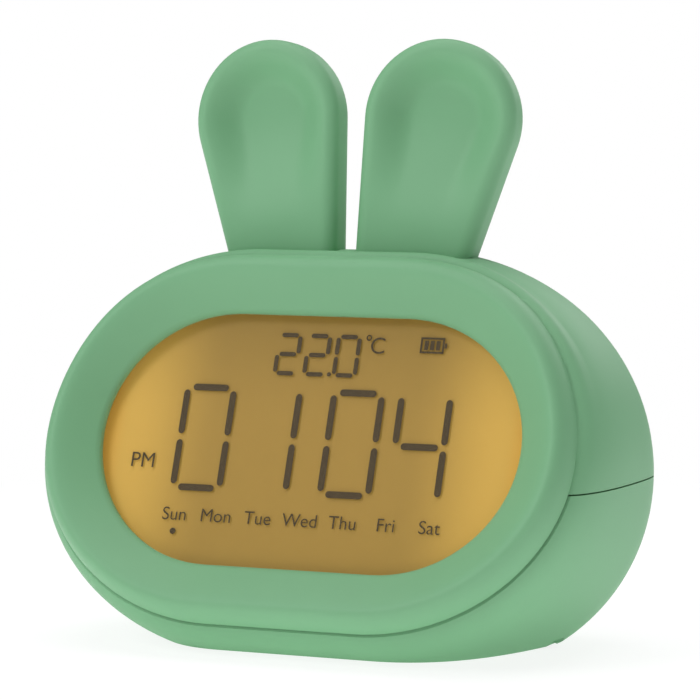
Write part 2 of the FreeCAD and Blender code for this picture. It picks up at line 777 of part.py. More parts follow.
def display_stack():
    over = size("stack_overlap")
    plug = oval_slab("window_plug", -size("stack_gap"), WINDOW_BACK,
                     f"-window_recess - {WINDOW_BACK}")
    flange = oval_slab("window_rim", over, WINDOW_BACK, "window_flange")
    window = fused("display_window", [plug, flange])
    glass = oval_slab("glass_plate", over, GLASS_BACK, "glass_thickness")
    tab = block("glass_tab", "face", ("0", "-lip_half_height - stack_overlap", GLASS_BACK),
                ("2 * tab_half_width", "2 * tab_length", "glass_thickness / 2"))
    panel = fused("lcd_panel", [glass, tab])
    diffuser = oval_slab("diffuser_sheet", over, DIFFUSER_BACK, "diffuser_thickness")
    reflector = oval_slab("reflector_sheet", over, REFLECTOR_BACK, "reflector_thickness")
    ends, boards, lamps = [], [], []
    reach = ("(lip_straight + (lip_half_width + stack_overlap - lip_straight) * sqrt(1"
             " - (lamp_board_length / 2 / (lip_half_height + stack_overlap)) ^ 2) - stack_gap)")
    board_u = f"({reach} - lamp_board_thickness / 2)"
    lamp_u = f"({reach} - lamp_board_thickness - lamp_depth / 2)"
    for side in (-1, 1):
        ends.append(block(f"guide_end_{side + 2}", "face",
                          (f"{side} * {reach}", "0", f"{GUIDE_BACK} - 1"),
                          ("2 * (lamp_board_thickness + lamp_depth + stack_gap)",
                           "lamp_board_length + 1", "guide_thickness + 2")))
        boards.append(block(f"lamp_board_{side + 2}", "face",
                            (f"{side} * {board_u}", "0", GUIDE_BACK),
                            ("lamp_board_thickness", "lamp_board_length", "guide_thickness")))
        for step in (-1.5, -0.5, 0.5, 1.5):
            lamps.append(block(f"lamp_{side + 2}_{int(step + 2.5)}", "face",
                               (f"{side} * {lamp_u}", f"{step} * lamp_pitch",
                                f"{GUIDE_BACK} + (guide_thickness - lamp_height) / 2"),
                               ("lamp_depth", "lamp_width", "lamp_height")))
    guide = cut("light_guide", oval_slab("guide_plate", over, GUIDE_BACK, "guide_thickness"), ends)
    return [window, panel, diffuser, guide, reflector,
            grouped("lamp_boards", boards), grouped("side_lamps", lamps)]


def display_frame():
    """The carrier behind the stack: a floor on the bosses, a rim round the stack, four standoffs."""
    over = size("stack_overlap") + 0.15
    inset = size("wall") + size("frame_inset")
    floor = oval_slab("frame_plate", -inset, FLOOR_BACK, "frame_floor", share=1.0)
    rim_outside = oval_slab("rim_outside", over + size("frame_rim"), FLOOR_FRONT + "- 0.2",
                            f"{WINDOW_BACK} - {FLOOR_FRONT} + 0.1")
    rim_inside = oval_slab("rim_inside", over, FLOOR_FRONT, f"{WINDOW_BACK} - {FLOOR_FRONT} + 1")
    rim = cut("frame_rim_wall", rim_outside, [rim_inside])
    added, removed = [floor, rim], []
    for number, (u, v) in enumerate(board_screw_places(), start=1):
        added.append(rod(f"standoff_{number}", "face", (u, v, BOARD_FRONT), "boss_radius",
                         f"{FLOOR_BACK} - {BOARD_FRONT} + 0.5"))
        removed.append(rod(f"standoff_pilot_{number}", "face", (u, v, f"{BOARD_FRONT} - 1"),
                           "pilot_radius", "board_standoff + 1.6"))
    for number, (u, v) in enumerate(frame_screw_places(), start=1):
        removed.append(rod(f"frame_hole_{number}", "face", (u, v, f"{FLOOR_BACK} - 1"),
                           "screw_hole_radius", "frame_floor + 2"))
        removed.append(rod(f"boss_pocket_{number}", "face", (u, v, FLOOR_FRONT),
                           "boss_radius + 0.2", f"1 - {FLOOR_FRONT}"))
    notch_top = "(-lip_half_height - 0.6)"
    notch_low = "(-lip_half_height - stack_overlap - tab_length - 2.4)"
    removed.append(block("flex_notch", "face",
                         ("0", f"({notch_top} + {notch_low}) / 2", f"{FLOOR_BACK} - 1"),
                         ("2 * tab_half_width + 2", f"{notch_top} - {notch_low}",
                          f"{WINDOW_BACK} - {FLOOR_BACK} + 2")))
    return cut("display_frame", fused("frame_solid", added), removed)


def board_screw_places():
    return [(f"{x} * board_hole_u", f"{y} * board_hole_v") for x in (-1, 1) for y in (-1, 1)]


def display_flex():
    """The flat lead from the glass's tab, back through the carrier and up to the main board."""
    half = worked("tab_half_width - 1")
    thick, bend = size("flex_thickness"), size("flex_bend")
    tab_level = worked(GLASS_BACK) - thick / 2 - 0.02
    board_level = worked(BOARD_FRONT) + thick / 2 + 0.02
    low = -size("lip_half_height") - size("stack_overlap") - size("tab_length") - 0.9
    start = Vector(0, low + 3.2, tab_level)
    end = Vector(0, -size("board_height") / 2 + 2.5, board_level)
    path = Part.Wire([
        Part.LineSegment(start, Vector(0, low + bend, tab_level)).toShape(),
        Part.Arc(Vector(0, low + bend, tab_level),
                 Vector(0, low + bend - bend * sqrt(0.5), tab_level - bend + bend * sqrt(0.5)),
                 Vector(0, low, tab_level - bend)).toShape(),
        Part.LineSegment(Vector(0, low, tab_level - bend),
                         Vector(0, low, board_level + bend)).toShape(),
        Part.Arc(Vector(0, low, board_level + bend),
                 Vector(0, low + bend - bend * sqrt(0.5), board_level + bend - bend * sqrt(0.5)),
                 Vector(0, low + bend, board_level)).toShape(),
        Part.LineSegment(Vector(0, low + bend, board_level), end).toShape()])
    corners = [Vector(-half, start.y, start.z - thick / 2), Vector(half, start.y, start.z - thick / 2),
               Vector(half, start.y, start.z + thick / 2), Vector(-half, start.y, start.z + thick / 2)]
    strip = path.makePipeShell([Part.makePolygon(corners + corners[:1])], True, True)
    strip.Placement = face_placement()
    return formed("display_flex", strip)


def main_board():
    holes = [(u, v, "screw_hole_radius") for u, v in board_screw_places()]
    board = plate("main_board", "face", ("0", "0", BOARD_BACK),
                  rectangle("board_width / 2", "board_height / 2"), "board_thickness", holes)
    chip = block("controller_chip", "face", ("-4", "3", f"{BOARD_BACK} - 1.4"), ("9", "9", "1.4"))
    crystal = block("crystal", "face", ("7", "8", f"{BOARD_BACK} - 1.6"), ("7", "3.2", "1.6"))
    cans = [rod(f"capacitor_{number}", "face", (u, v, f"{BOARD_BACK} - 5.4"), "2.5", "5.4")
            for number, (u, v) in enumerate((("18", "6"), ("18", "-3"), ("-20", "8")), start=1)]
    sockets = []
    for number, (u, v, wide) in enumerate((("-12", "-13", "8"), ("2", "-13", "6"), ("14", "-13", "6")),
                                          start=1):
        outside = block(f"socket_shell_{number}", "face", (u, v, f"{BOARD_BACK} - 5"),
                        (wide, "4.4", "5"))
        inside = block(f"socket_mouth_{number}", "face", (u, v, f"{BOARD_BACK} - 6"),
                       (f"{wide} - 1.4", "3.0", "5"))
        sockets.append(cut(f"board_socket_{number}", outside, [inside]))
    tap = fused("tap_sensor", [
        rod("tap_can", "face", ("-22", "-4", f"{BOARD_BACK} - 6.5"), "2.2", "6.5"),
        rod("tap_tip", "face", ("-22", "-4", f"{BOARD_BACK} - 7.5"), "0.6", "1.5")])
    warmth = fused("temperature_sensor", [
        rod("sensor_bead", "face", ("27", "-9", f"{BOARD_BACK} - 6"), "1.3", "2.6"),
        rod("sensor_leg_1", "face", ("26.4", "-9", f"{BOARD_BACK} - 4"), "0.25", "4"),
        rod("sensor_leg_2", "face", ("27.6", "-9", f"{BOARD_BACK} - 4"), "0.25", "4")])
    return [board, chip, crystal, grouped("capacitors", cans), grouped("wire_sockets", sockets),
            tap, warmth]


def buttons():
    """Four push buttons in the rear wall, each on its own push switch."""
    made = []
    bodies = []
    for name, x in zip(("alarm", "down", "up", "light"), button_places()):
        made.append(turned(f"{name}_button", "rear", (x, "button_height", "0"), [
            ("0", "-button_proud"), ("button_radius - 0.6", "-button_proud"),
            ("button_radius", "-button_proud + 0.6"), ("button_radius", FLANGE_FRONT), ("button_radius + button_flange", FLANGE_FRONT),
            ("button_radius + button_flange", FLANGE_BACK), ("0", FLANGE_BACK)]))
        made.append(turned(f"{name}_plunger", "rear", (x, "button_height", "0"), [
            ("0", FLANGE_BACK), ("plunger_radius", FLANGE_BACK),
            ("plunger_radius", f"{SWITCH_FRONT} + 1.2"), ("0", f"{SWITCH_FRONT} + 1.2")]))
        outside = block(f"{name}_switch_shell", "rear", (x, "button_height", SWITCH_FRONT),
                        ("switch_side", "switch_side", "switch_depth"))
        bore = rod(f"{name}_switch_bore", "rear", (x, "button_height", f"{SWITCH_FRONT} - 1"),
                   "plunger_radius + plunger_fit", "3.4")
        bodies.append(cut(f"{name}_switch", outside, [bore]))
    half = "(2 * button_pitch + 5)"
    holes = [(x, "0.001", "screw_hole_radius") for x in board_boss_places()]
    board = plate("button_board", "rear", ("0", "button_height", SWITCH_BACK),
                  rectangle(half, "button_board_height / 2"), "button_board_thickness", holes)
    return made + [grouped("push_switches", bodies), board]


def loudspeaker():
    where = ("speaker_x", "speaker_height", "0")
    front = "(wall + gasket_thickness)"
    gasket = turned("speaker_gasket", "rear", where, [
        ("speaker_radius - 2", "wall"), ("speaker_radius", "wall"),
        ("speaker_radius", front), ("speaker_radius - 2", front)])
    basket = turned("speaker_frame", "rear", where, [
        ("speaker_radius - 2", front), ("speaker_radius", front), ("speaker_radius", f"{front} + 1"),
        ("speaker_radius - 4", f"{front} + 3.2"), ("6", f"{front} + 3.2"), ("6", f"{front} + 2.4"),
        ("speaker_radius - 4.4", f"{front} + 2.4"), ("speaker_radius - 2", f"{front} + 0.7")])
    cone = turned("speaker_cone", "rear", where, [
        ("0", f"{front} + 2.0"), ("2.5", f"{front} + 2.0"), ("speaker_radius - 2.1", f"{front} + 0.2"),
        ("speaker_radius - 2.1", f"{front} + 0.5"), ("2.5", f"{front} + 2.3"), ("0", f"{front} + 2.3")])
    magnet = turned("speaker_magnet", "rear", where, [
        ("0", f"{front} + 3.2"), ("7", f"{front} + 3.2"), ("7", f"{front} + speaker_depth"),
        ("0", f"{front} + speaker_depth")])
    return [gasket, basket, cone, magnet]


def cell_and_strap():
    """The rechargeable cell on its saddles, held down by a bent strap."""
    cell = cell_rod("battery_cell", "cell_radius")
    thick = size("strap_thickness")
    inner = size("cell_radius") + size("strap_clearance")
    outer, reach = inner + thick, inner + size("strap_foot") - thick
    centre = Vector(0, size("cell_y"), worked(f"{FLOOR_TOP} + cell_radius + cell_clearance"))
    seat = worked(f"{FLOOR_TOP} + cell_radius") - centre.z
    top = seat + thick
    bend = sqrt(outer ** 2 - top ** 2)

    def at(y, z):
        return Vector(0, y, z)

    def runs(*corners):
        return [Part.LineSegment(*ends).toShape() for ends in zip(corners, corners[1:])]

    edges = [
        *runs(at(-reach, seat), at(-inner, seat), at(-inner, 0)),
        Part.Arc(at(-inner, 0), at(0, inner), at(inner, 0)).toShape(),
        *runs(at(inner, 0), at(inner, seat), at(reach, seat), at(reach, top), at(bend, top)),
        Part.Arc(at(bend, top), at(0, outer), at(-bend, top)).toShape(),
        *runs(at(-bend, top), at(-reach, top), at(-reach, seat))]
    face = Part.Face(Part.Wire(edges))
    width = size("strap_width")
    face.translate(centre + Vector(size("strap_x") - width / 2, 0, 0))
    band = formed("strap_band", face.extrude(Vector(width, 0, 0)))
    holes = [rod(f"strap_hole_{side + 2}", "world",
                 ("strap_x", f"cell_y + {side} * (cell_radius + strap_foot / 2)",
                  f"{FLOOR_TOP} + cell_radius - 1"), "screw_hole_radius", "4")
             for side in (-1, 1)]
    return [cell, cut("battery_strap", band, holes)]


def socket_and_slide():
    """The level board at the rear, with the charging socket and the slide switch on it."""
    under = "(socket_board_top - socket_board_thickness)"
    middle = "((socket_x + slide_x) / 2)"
    places = socket_board_places()
    holes = [(f"({x}) - {middle}", f"{REAR_Y} - ({depth}) - ({REAR_Y} - wall - 0.5"
              f" - socket_board_depth / 2)", "screw_hole_radius") for x, depth in places]
    board = plate("socket_board", "world",
                  (middle, f"{REAR_Y} - wall - 0.5 - socket_board_depth / 2", under),
                  rectangle("socket_board_width / 2", "socket_board_depth / 2"),
                  "socket_board_thickness", holes)
    level = "(socket_board_top + socket_height / 2)"
    shell = block("socket_outside", "rear", ("socket_x", level, "0.4"),
                  ("socket_width", "socket_height", "socket_length"))
    corner, mouth_corner = size("socket_corner"), size("socket_corner") - size("socket_skin")
    rounded = DOC.addObject("Part::Fillet", "socket_rounded")
    rounded.Base = shell
    DOC.recompute()
    ends = [index for index, edge in enumerate(shell.Shape.Edges, start=1)
            if abs(edge.tangentAt(edge.FirstParameter).y) > 0.99]
    rounded.Edges = [(index, corner, corner) for index in ends]
    mouth = block("socket_mouth", "rear", ("socket_x", level, "-1"),
                  ("socket_width - 2 * socket_skin", "socket_height - 2 * socket_skin",
                   "socket_length + 0.4"))
    inner = DOC.addObject("Part::Fillet", "mouth_rounded")
    inner.Base = mouth
    DOC.recompute()
    inner.Edges = [(index, mouth_corner, mouth_corner)
                   for index, edge in enumerate(mouth.Shape.Edges, start=1)
                   if abs(edge.tangentAt(edge.FirstParameter).y) > 0.99]
    tongue = block("socket_tongue", "rear", ("socket_x", level, "1.6"),
                   ("6.4", "0.7", "socket_length - 0.8"))
    socket = fused("charge_socket", [cut("socket_tube", rounded, [inner]), tongue])
    slide_level = "(socket_board_top + slide_body_height / 2)"
    body = block("slide_outside", "rear",
                 ("slide_x + slide_travel / 2", slide_level, "wall + 0.4"),
                 ("slide_body_width", "slide_body_height", "slide_body_depth"))
    track = block("slide_track", "rear",
                  ("slide_x + slide_travel / 2", slide_level, "wall - 1"),
                  ("knob_width + slide_travel + 0.4", "knob_height + 0.2", "4.2"))
    knob = block("switch_knob", "rear", ("slide_x", slide_level, "-knob_proud"),
                 ("knob_width", "knob_height", "knob_proud + wall + 2.4"))
    return [board, socket, cut("slide_switch", body, [track]), knob]


def feet_and_screws():
    feet = [turned(f"foot_{number}", "world", (x, y, "0"), [
        ("0", "0"), ("foot_radius - 0.5", "0"), ("foot_radius", "0.5"),
        ("foot_radius", "base_height + foot_recess"), ("0", "base_height + foot_recess")])
        for number, (x, y) in enumerate(foot_places(), start=1)]
    screws = [turned(f"housing_screw_{side + 2}", "world",
                     (f"{side} * post_x", "post_y", "post_end - wall"), [
                         ("0", "-2"), ("2", "-2"), ("2.8", "-1"), ("2.8", "0"), ("1.2", "0"),
                         ("1.2", "14"), ("0", "14")]) for side in (-1, 1)]
    return [grouped("rubber_feet", feet), grouped("housing_screws", screws)]


def build():
    fill_sheet()
    shell = hollow_body()
    dome = dome_solid(0.0)
    nodes = [upper_housing(shell), lower_housing(shell)]
    for side, name in ((-1, "left_ear"), (1, "right_ear")):
        nodes.append(ear(name, side, dome))
        nodes.append(ear_back(f"{name}_back", side))
    nodes.append(ear_screws())
    nodes += display_stack()
    nodes += [display_frame(), display_flex()]
    nodes += main_board()
    nodes += buttons()
    nodes += loudspeaker()
    nodes += cell_and_strap()
    nodes += socket_and_slide()
    nodes += feet_and_screws()
    DOC.recompute()
    return nodes


def check_and_write(nodes):
    for thing in DOC.Objects:
        bad = [state for state in thing.State if state in ("Invalid", "Error")]
        if bad:
            raise RuntimeError(f"{thing.Name} did not compute: {bad}")
    os.makedirs("parts", exist_ok=True)
    for node in nodes:
        shape = node.Shape
        if shape.isNull() or not shape.isValid() or not shape.Solids:
            raise RuntimeError(f"{node.Label} has no valid solid")
        shape.exportStep(os.path.join("parts", f"{node.Label}.step"))
        print(node.Label, len(shape.Solids), round(shape.Volume, 1))


check_and_write(build())
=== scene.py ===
from math import asin, cos, pi, radians, sin

import bmesh
import bpy
import numpy as np
from mathutils import Matrix, Vector
from mathutils.bvhtree import BVHTree


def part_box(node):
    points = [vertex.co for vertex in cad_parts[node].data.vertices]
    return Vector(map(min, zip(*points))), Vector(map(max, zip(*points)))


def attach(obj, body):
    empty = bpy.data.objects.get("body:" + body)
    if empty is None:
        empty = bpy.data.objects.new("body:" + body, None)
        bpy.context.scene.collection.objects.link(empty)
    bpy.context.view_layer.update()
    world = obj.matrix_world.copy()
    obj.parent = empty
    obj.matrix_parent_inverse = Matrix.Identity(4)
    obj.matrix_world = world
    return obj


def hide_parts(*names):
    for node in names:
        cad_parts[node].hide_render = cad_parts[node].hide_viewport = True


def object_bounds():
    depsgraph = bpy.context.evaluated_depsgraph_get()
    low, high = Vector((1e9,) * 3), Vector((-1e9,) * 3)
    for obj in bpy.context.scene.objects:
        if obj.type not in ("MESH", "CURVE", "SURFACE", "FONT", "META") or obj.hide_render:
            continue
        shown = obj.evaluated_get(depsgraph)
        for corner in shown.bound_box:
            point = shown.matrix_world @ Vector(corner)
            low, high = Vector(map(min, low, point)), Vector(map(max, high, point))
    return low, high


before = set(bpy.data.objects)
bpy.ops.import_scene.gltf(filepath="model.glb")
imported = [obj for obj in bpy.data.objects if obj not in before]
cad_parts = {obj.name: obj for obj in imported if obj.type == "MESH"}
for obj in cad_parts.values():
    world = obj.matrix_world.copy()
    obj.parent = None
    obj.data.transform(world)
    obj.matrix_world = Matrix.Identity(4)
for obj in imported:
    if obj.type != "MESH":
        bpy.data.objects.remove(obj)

bl_info = {
    "name": "Eared alarm clock",
    "version": (1, 0, 0),
    "blender": (4, 5, 0),
    "location": "View3D > Sidebar > Clock",
    "description": "Finishes, display marks and small fasteners of a green alarm clock with two ears",
    "category": "Object",
}

MM = 0.001
CAD_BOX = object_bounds()
TINY, WELD = 1e-12, 1e-6
WHITE = (1.0, 1.0, 1.0, 1.0)

# The front plane of the clock, in which the display's marks are laid out: u runs right, v up the plane
FACE_LEAN = radians(20.2)
FACE_CENTRE = Vector((0.0, -16.8, 44.4)) * MM
FACE_PLACE = Matrix.Translation(FACE_CENTRE) @ Matrix.Rotation(pi / 2 - FACE_LEAN, 4, "X")

# Bars of a seven-bar figure: a at the top, then clockwise, g across the middle
FIGURE_BARS = {"0": "abcdef", "1": "bc", "2": "abged", "4": "fgbc"}
# Where each bar's middle lies, in half figures across and up, and whether the bar stands upright
BAR_PLACES = {"a": (0, 1, 0), "b": (1, 0.5, 1), "c": (1, -0.5, 1), "d": (0, -1, 0),
              "e": (-1, -0.5, 1), "f": (-1, 0.5, 1), "g": (0, 0, 0)}
# Room at each end of a bar, as a share of its figure's height
GAP_SHARE = 0.058

# A capital's height and how much each stroke is thinned, as shares of the type's size
CAPITAL_SHARE = 0.69
THINNING = 0.004

# The display's marks in the front plane, in mm: middles of the figures, then of signs and words
HOURS, HOUR_MIDDLES, HOUR_LEVEL = "0104", (-24.6, -9.4, 9.2, 24.4), 0.4
DEGREES, DEGREE_MIDDLES, DEGREE_LEVEL = "220", (-8.1, -1.35, 5.4), 19.1
POINT_PLACE, POINT_WIDTH = (1.95, 15.05), 0.95
DAY_DOT_PLACE, DAY_DOT_WIDTH = (-28.4, -19.95), 1.35
DAYS = ("Sun", "Mon", "Tue", "Wed", "Thu", "Fri", "Sat")
FIRST_DAY, DAY_PITCH, DAY_LEVEL = -28.6, 9.6, -16.4
AFTERNOON_PLACE, AFTERNOON_HEIGHT = (-37.9, -5.2), 3.2
UNIT_PLACE, UNIT_HEIGHT = (12.05, 21.4), 3.5
DEGREE_RING_PLACE, DEGREE_RING_RADIUS, DEGREE_RING_LINE, DEGREE_RING_STEPS = (9.9, 23.2), 0.5, 0.3, 20
BATTERY_PLACE, BATTERY_WIDTH, BATTERY_HEIGHT, BATTERY_LINE = (24.2, 22.0), 4.9, 3.0, 0.42
BATTERY_CORNER, DEGREE_RING_CORNER, DEGREE_RING_LAP = 0.08, 0.01, 0.04
CHARGE_PITCH, CHARGE_SIZE = 1.3, (0.9, 2.0)
CAP_REACH, CAP_SIZE = 0.55, (0.5, 1.1)

# The lit display, with its lamps' light and the ring's shade painted into its colour: where the painted
# light starts to rise and has risen, as shares of its half width, then where the painted shade starts
# and ends above its middle, and what light is left there
LIGHT_STARTS, LIGHT_RISEN = 0.45, 0.9
PAINTED_SHADE_STARTS, PAINTED_SHADE_ENDS, PAINTED_SHADE_LIGHT = 0.1, 0.95, 0.84

# The ring's form: bulge of its inner slope, how square its outer round is, and how fast the dome
# behind it stops following
SLOPE_BULGE, SLOPE_POWER, ROUND_POWER, FOLLOW_POWER = 0.12, 9, 1.4, 1.5
# The search for a point's share: where it starts, and how often it halves
MOST_SHARE, HALVINGS = 3.0, 26
# Points of the CAD shell closer than this are one, its normals are taken over this reach, and its
# upper edge is shaded as one surface where it lies this near the seam
MERGED, NORMAL_REACH, SEAM_BAND = 0.001 * MM, 0.03 * MM, 0.4 * MM

# Steps round the ear's tip, along each side and round its foot, and across its edges and its dish
TIP_STEPS, SIDE_STEPS, ROOT_STEPS = 44, 26, 20
EDGE_STEPS, DISH_STEPS, DISH_SPACING = 8, 20, 1.3
COVER_EDGE_TURN = radians(80)
RAY_START = 60 * MM
EAR_WELD, COVER_LIP, ABOVE_BORE, PEG_STEPS = 0.002 * MM, 0.05 * MM, 2 * MM, 32
SHARP_FROM = radians(50)

# What a small screw's node tree takes, each a size in ClockScrews
SCREW_SIZES = ("Head Radius", "Head Height", "Recess", "Shank Radius", "Shank Length")
# Shares of the head's radius: its top, and the reach and the width of the cross; how far down the
# shank's middle lies, as a share of its length; and sides of the head and of the shank
HEAD_TOP, CROSS_REACH, CROSS_WIDTH, SHANK_DROP = 0.72, 1.05, 0.26, 0.49
HEAD_SIDES, SHANK_SIDES, BAR_CORNER_STEPS = 32, 24, 5

# Places and sizes of the lamps, in metres
LAMPS = {"overhead": ((0.0, 0.1, 1.3), 1.2), "left_front": ((-0.6, -0.9, 0.95), 0.6),
         "behind": ((0.3, 1.2, 0.7), 0.8)}
# The camera looks at the middle of the clock, moved by this much to its right and up
VIEW_CENTRE, VIEW_RIGHT, VIEW_UP = Vector((0.0, 11.7, 44.42)) * MM, -2.26 * MM, 16.67 * MM
# How far from the middle the floor shows the clock's shadow, and how white it looks there
SHADOW_REACH, SHADOW_WHITENESS = 0.12, 0.75


def ink(red, green, blue):
    """A colour as it looks, in 0 to 255, as the light values that a shader takes."""
    light = [(part / 255 / 12.92 if part < 10.3 else ((part / 255 + 0.055) / 1.055) ** 2.4)
             for part in (red, green, blue)]
    return (*light, 1.0)


def colour_of(name, text, default):
    return bpy.props.FloatVectorProperty(
        name=name, description=text, default=default, size=4, min=0.0, max=1.0, subtype="COLOR")


def number_of(name, text, default, **kind):
    return bpy.props.FloatProperty(name=name, description=text, default=default, **kind)


def length_of(name, text, millimetres):
    return number_of(name, text, millimetres * MM, min=0.0, unit="LENGTH", precision=5)


def power_of(name, text, watts):
    return number_of(name, text, watts, min=0.0, unit="POWER")


def angle_of(name, text, degrees):
    return number_of(name, text, radians(degrees), subtype="ANGLE")


def share_of(name, text, default):
    return number_of(name, text, default, min=0.0, max=1.0, subtype="FACTOR")


class ClockShell(bpy.types.PropertyGroup):
    """The moulded green shells and ears."""

    colour: colour_of("Colour", "Colour of the moulded plastic", ink(131, 188, 143))
    roughness: share_of("Roughness", "How matt the moulding is", 0.52)
    grain: length_of("Grain", "Width of one grain of the fine moulded texture", 0.35)
    grain_height: length_of("Grain height", "Height of the moulded texture", 0.012)


class ClockRing(bpy.types.PropertyGroup):
    """The front ring's outlines, as the CAD shell has them, and how its form differs from them."""

    lip_straight: length_of("Lip straight", "Half the straight run of the inner edge", 18.6)
    lip_half_width: length_of("Lip half width", "Half the width of the inner edge", 47.5)
    lip_half_height: length_of("Lip half height", "Half the height of the inner edge", 27.15)
    seam_straight: length_of("Seam straight", "Half the straight run of the outer edge", 16.3)
    seam_half_width: length_of("Seam half width", "Half the width of the outer edge", 59.35)
    seam_half_height: length_of("Seam half height", "Half the height of the outer edge", 37.6)
    seam_drop: length_of("Seam drop",
                         "How far the outer edge's middle lies below the inner edge's", 1.9)
    seam_back: length_of("Seam back", "How far both edges lie behind the front plane", 0.3)
    height: length_of("Height", "From the edges to the crest of the ring", 6.1)
    follow_depth: length_of("Follow depth", "How far behind the seam the dome follows the ring", 5.0)
    top_rise: length_of("Top rise", "How much higher the outer edge reaches at the top", 4.1)
    corner_fullness: length_of("Corner fullness", "How much fuller its upper corners are", 1.2)
    crest: share_of("Crest", "Where the crest lies between the inner and the outer edge", 0.72)
    crest_height: share_of("Crest height", "Height of the crest, as a share of the CAD ring's", 0.95)
    crest_turn: share_of("Crest turn", "Share of the round that lies outside the crest", 0.45)


class ClockEars(bpy.types.PropertyGroup):
    """The two ears: each is a tapering spoon, dished in front, with a cover let into its back."""

    place_x: length_of("Place across", "From the middle of the clock to an ear's foot", 16.6)
    place_y: length_of("Place back", "From the middle of the clock back to an ear's foot", 8.6)
    place_z: length_of("Place up", "Height of an ear's foot", 91.4)
    turn: angle_of("Turn", "How far each ear's face turns outwards", 2.2)
    lean: angle_of("Lean", "How far each ear leans back", 5.85)
    splay: angle_of("Splay", "How far each ear leans to its side", 10.3)
    inwards: length_of("Inwards", "How far the outline lies towards the other ear", 0.2)
    tip_radius: length_of("Tip radius", "Radius of the round end", 16.85)
    tip_height: length_of("Tip height", "Height of the round end's middle", 19.1)
    root_radius: length_of("Root radius", "Radius of the outline's lower end, inside the shell", 12.0)
    root_depth: length_of("Root depth", "How far that end's middle lies below the foot", 14.0)
    thickness: length_of("Thickness", "From the front of the rim to the back", 10.5)
    front_round: length_of("Front round", "Radius round the front edge", 2.9)
    rear_round: length_of("Rear round", "Radius round the rear edge", 5.0)
    dish_depth: length_of("Dish depth", "How deep the front is dished near the tip", 4.9)
    dish_rim: length_of("Dish rim", "From the edge to where the dish starts", 1.9)
    dish_slope: length_of("Dish slope", "Width over which the dish gets its depth", 8.2)
    dish_fade_low: length_of("Dish fade", "How far below the foot's level the dish is gone", 4.0)
    dish_full: length_of("Dish full", "Height above which the dish has its full depth", 20.0)
    cover_root_radius: length_of("Cover root radius", "Radius of the cover pocket's lower end", 11.2)
    cover_root_height: length_of("Cover root height", "Height of that end's middle", 4.0)
    cover_tip_radius: length_of("Cover tip radius", "Radius of the cover pocket's round end", 13.55)
    cover_tip_height: length_of("Cover tip height", "Height of that end's middle", 19.0)
    cover_pocket: length_of("Cover pocket", "Depth of the pocket for the cover", 1.5)
    sink: length_of("Sink", "How far the foot is let into the shell", 0.8)
    peg_radius: length_of("Peg radius", "Radius of the two pegs under each ear", 2.4)
    peg_bore: length_of("Peg bore", "Radius of the screw bore in a peg", 0.9)
    peg_spread: length_of("Peg spread", "From the middle of an ear to a peg", 5.5)
    peg_reach: length_of("Peg reach", "From the foot's level down to the end of a peg", 15.8)
    peg_length: length_of("Peg length", "Length of a peg", 9.0)


class ClockDisplay(bpy.types.PropertyGroup):
    """The lit display behind its clear window."""

    lit: colour_of("Lit ends", "Colour at the left and right ends, next to the lamps",
                   ink(202, 162, 76))
    rim: colour_of("Rim", "Colour along the very ends", ink(206, 156, 66))
    dim: colour_of("Middle", "Colour in the middle, away from the lamps", ink(157, 126, 60))
    mark: colour_of("Marks", "Colour of the figures and words", ink(58, 44, 16))
    glow: share_of("Glow", "Share of the display's light that is its own", 0.3)
    half_width: length_of("Half width", "From the middle of the display to its left or right end", 47.5)
    middle_height: length_of("Middle height", "Height of the middle of the display", 44.4)
    half_height: length_of("Half height", "From there up to its upper edge", 25.5)
    level: length_of("Level of the marks", "How far the marks lie behind the front plane", 2.68)
    mark_thickness: length_of("Mark thickness", "Thickness of a printed mark", 0.05)


class ClockFigures(bpy.types.PropertyGroup):
    """Sizes of the seven-bar figures."""

    hour_width: length_of("Hour figure width", "Between the middles of the upright bars", 10.75)
    hour_height: length_of("Hour figure height", "Between the middles of the level bars", 21.7)
    hour_bar: length_of("Hour bar", "Width of a bar of the large figures", 1.45)
    degree_width: length_of("Degree figure width", "Between the middles of the upright bars", 4.75)
    degree_height: length_of("Degree figure height", "Between the middles of the level bars", 8.3)
    degree_bar: length_of("Degree bar", "Width of a bar of the small figures", 0.95)
    word_height: length_of("Word height", "Height of a capital of the day names", 2.75)


class ClockScrews(bpy.types.PropertyGroup):
    """The small pan-head screws inside."""

    head_radius: length_of("Head radius", "Radius of a head where it sits", 1.9)
    head_height: length_of("Head height", "Height of a head", 1.2)
    recess: length_of("Recess", "Depth of the cross in a head", 0.7)
    shank_radius: length_of("Shank radius", "Radius of the thread", 0.85)
    shank_length: length_of("Shank length", "From under the head to the end", 5.0)


class ClockStage(bpy.types.PropertyGroup):
    """Where the camera stands and how bright the lamps are."""

    azimuth: angle_of("Azimuth", "How far round to the right the camera stands", 23.69)
    elevation: angle_of("Elevation", "How high above the level the camera stands", 5.79)
    distance: length_of("Distance", "From the camera to the middle of the clock", 726.9)
    lens: number_of("Lens", "Focal length of the camera", 174.9, min=1.0, unit="CAMERA")
    overhead: power_of("Overhead", "Power of the wide lamp above the clock", 10.2)
    left_front: power_of("Left front", "Power of the lamp in front, above and to the left", 6.5)
    behind: power_of("Behind", "Power of the lamp behind", 4.2)
    sky: number_of("Sky", "Strength of the even light from all round", 0.12, min=0.0)
    table: number_of("Table", "Strength of the light from the lit table top", 0.42, min=0.0)


# Finishes


def finish_of(name, colour, roughness, metal=0.0, shine=0.5):
    """A material with its node tree and its shader."""
    material = bpy.data.materials.new(name)
    material.use_nodes = True
    shader = material.node_tree.nodes["Principled BSDF"]
    for label, value in (("Base Color", colour), ("Roughness", roughness), ("Metallic", metal),
                         ("Specular IOR Level", shine)):
        shader.inputs[label].default_value = value
    return material, material.node_tree, shader


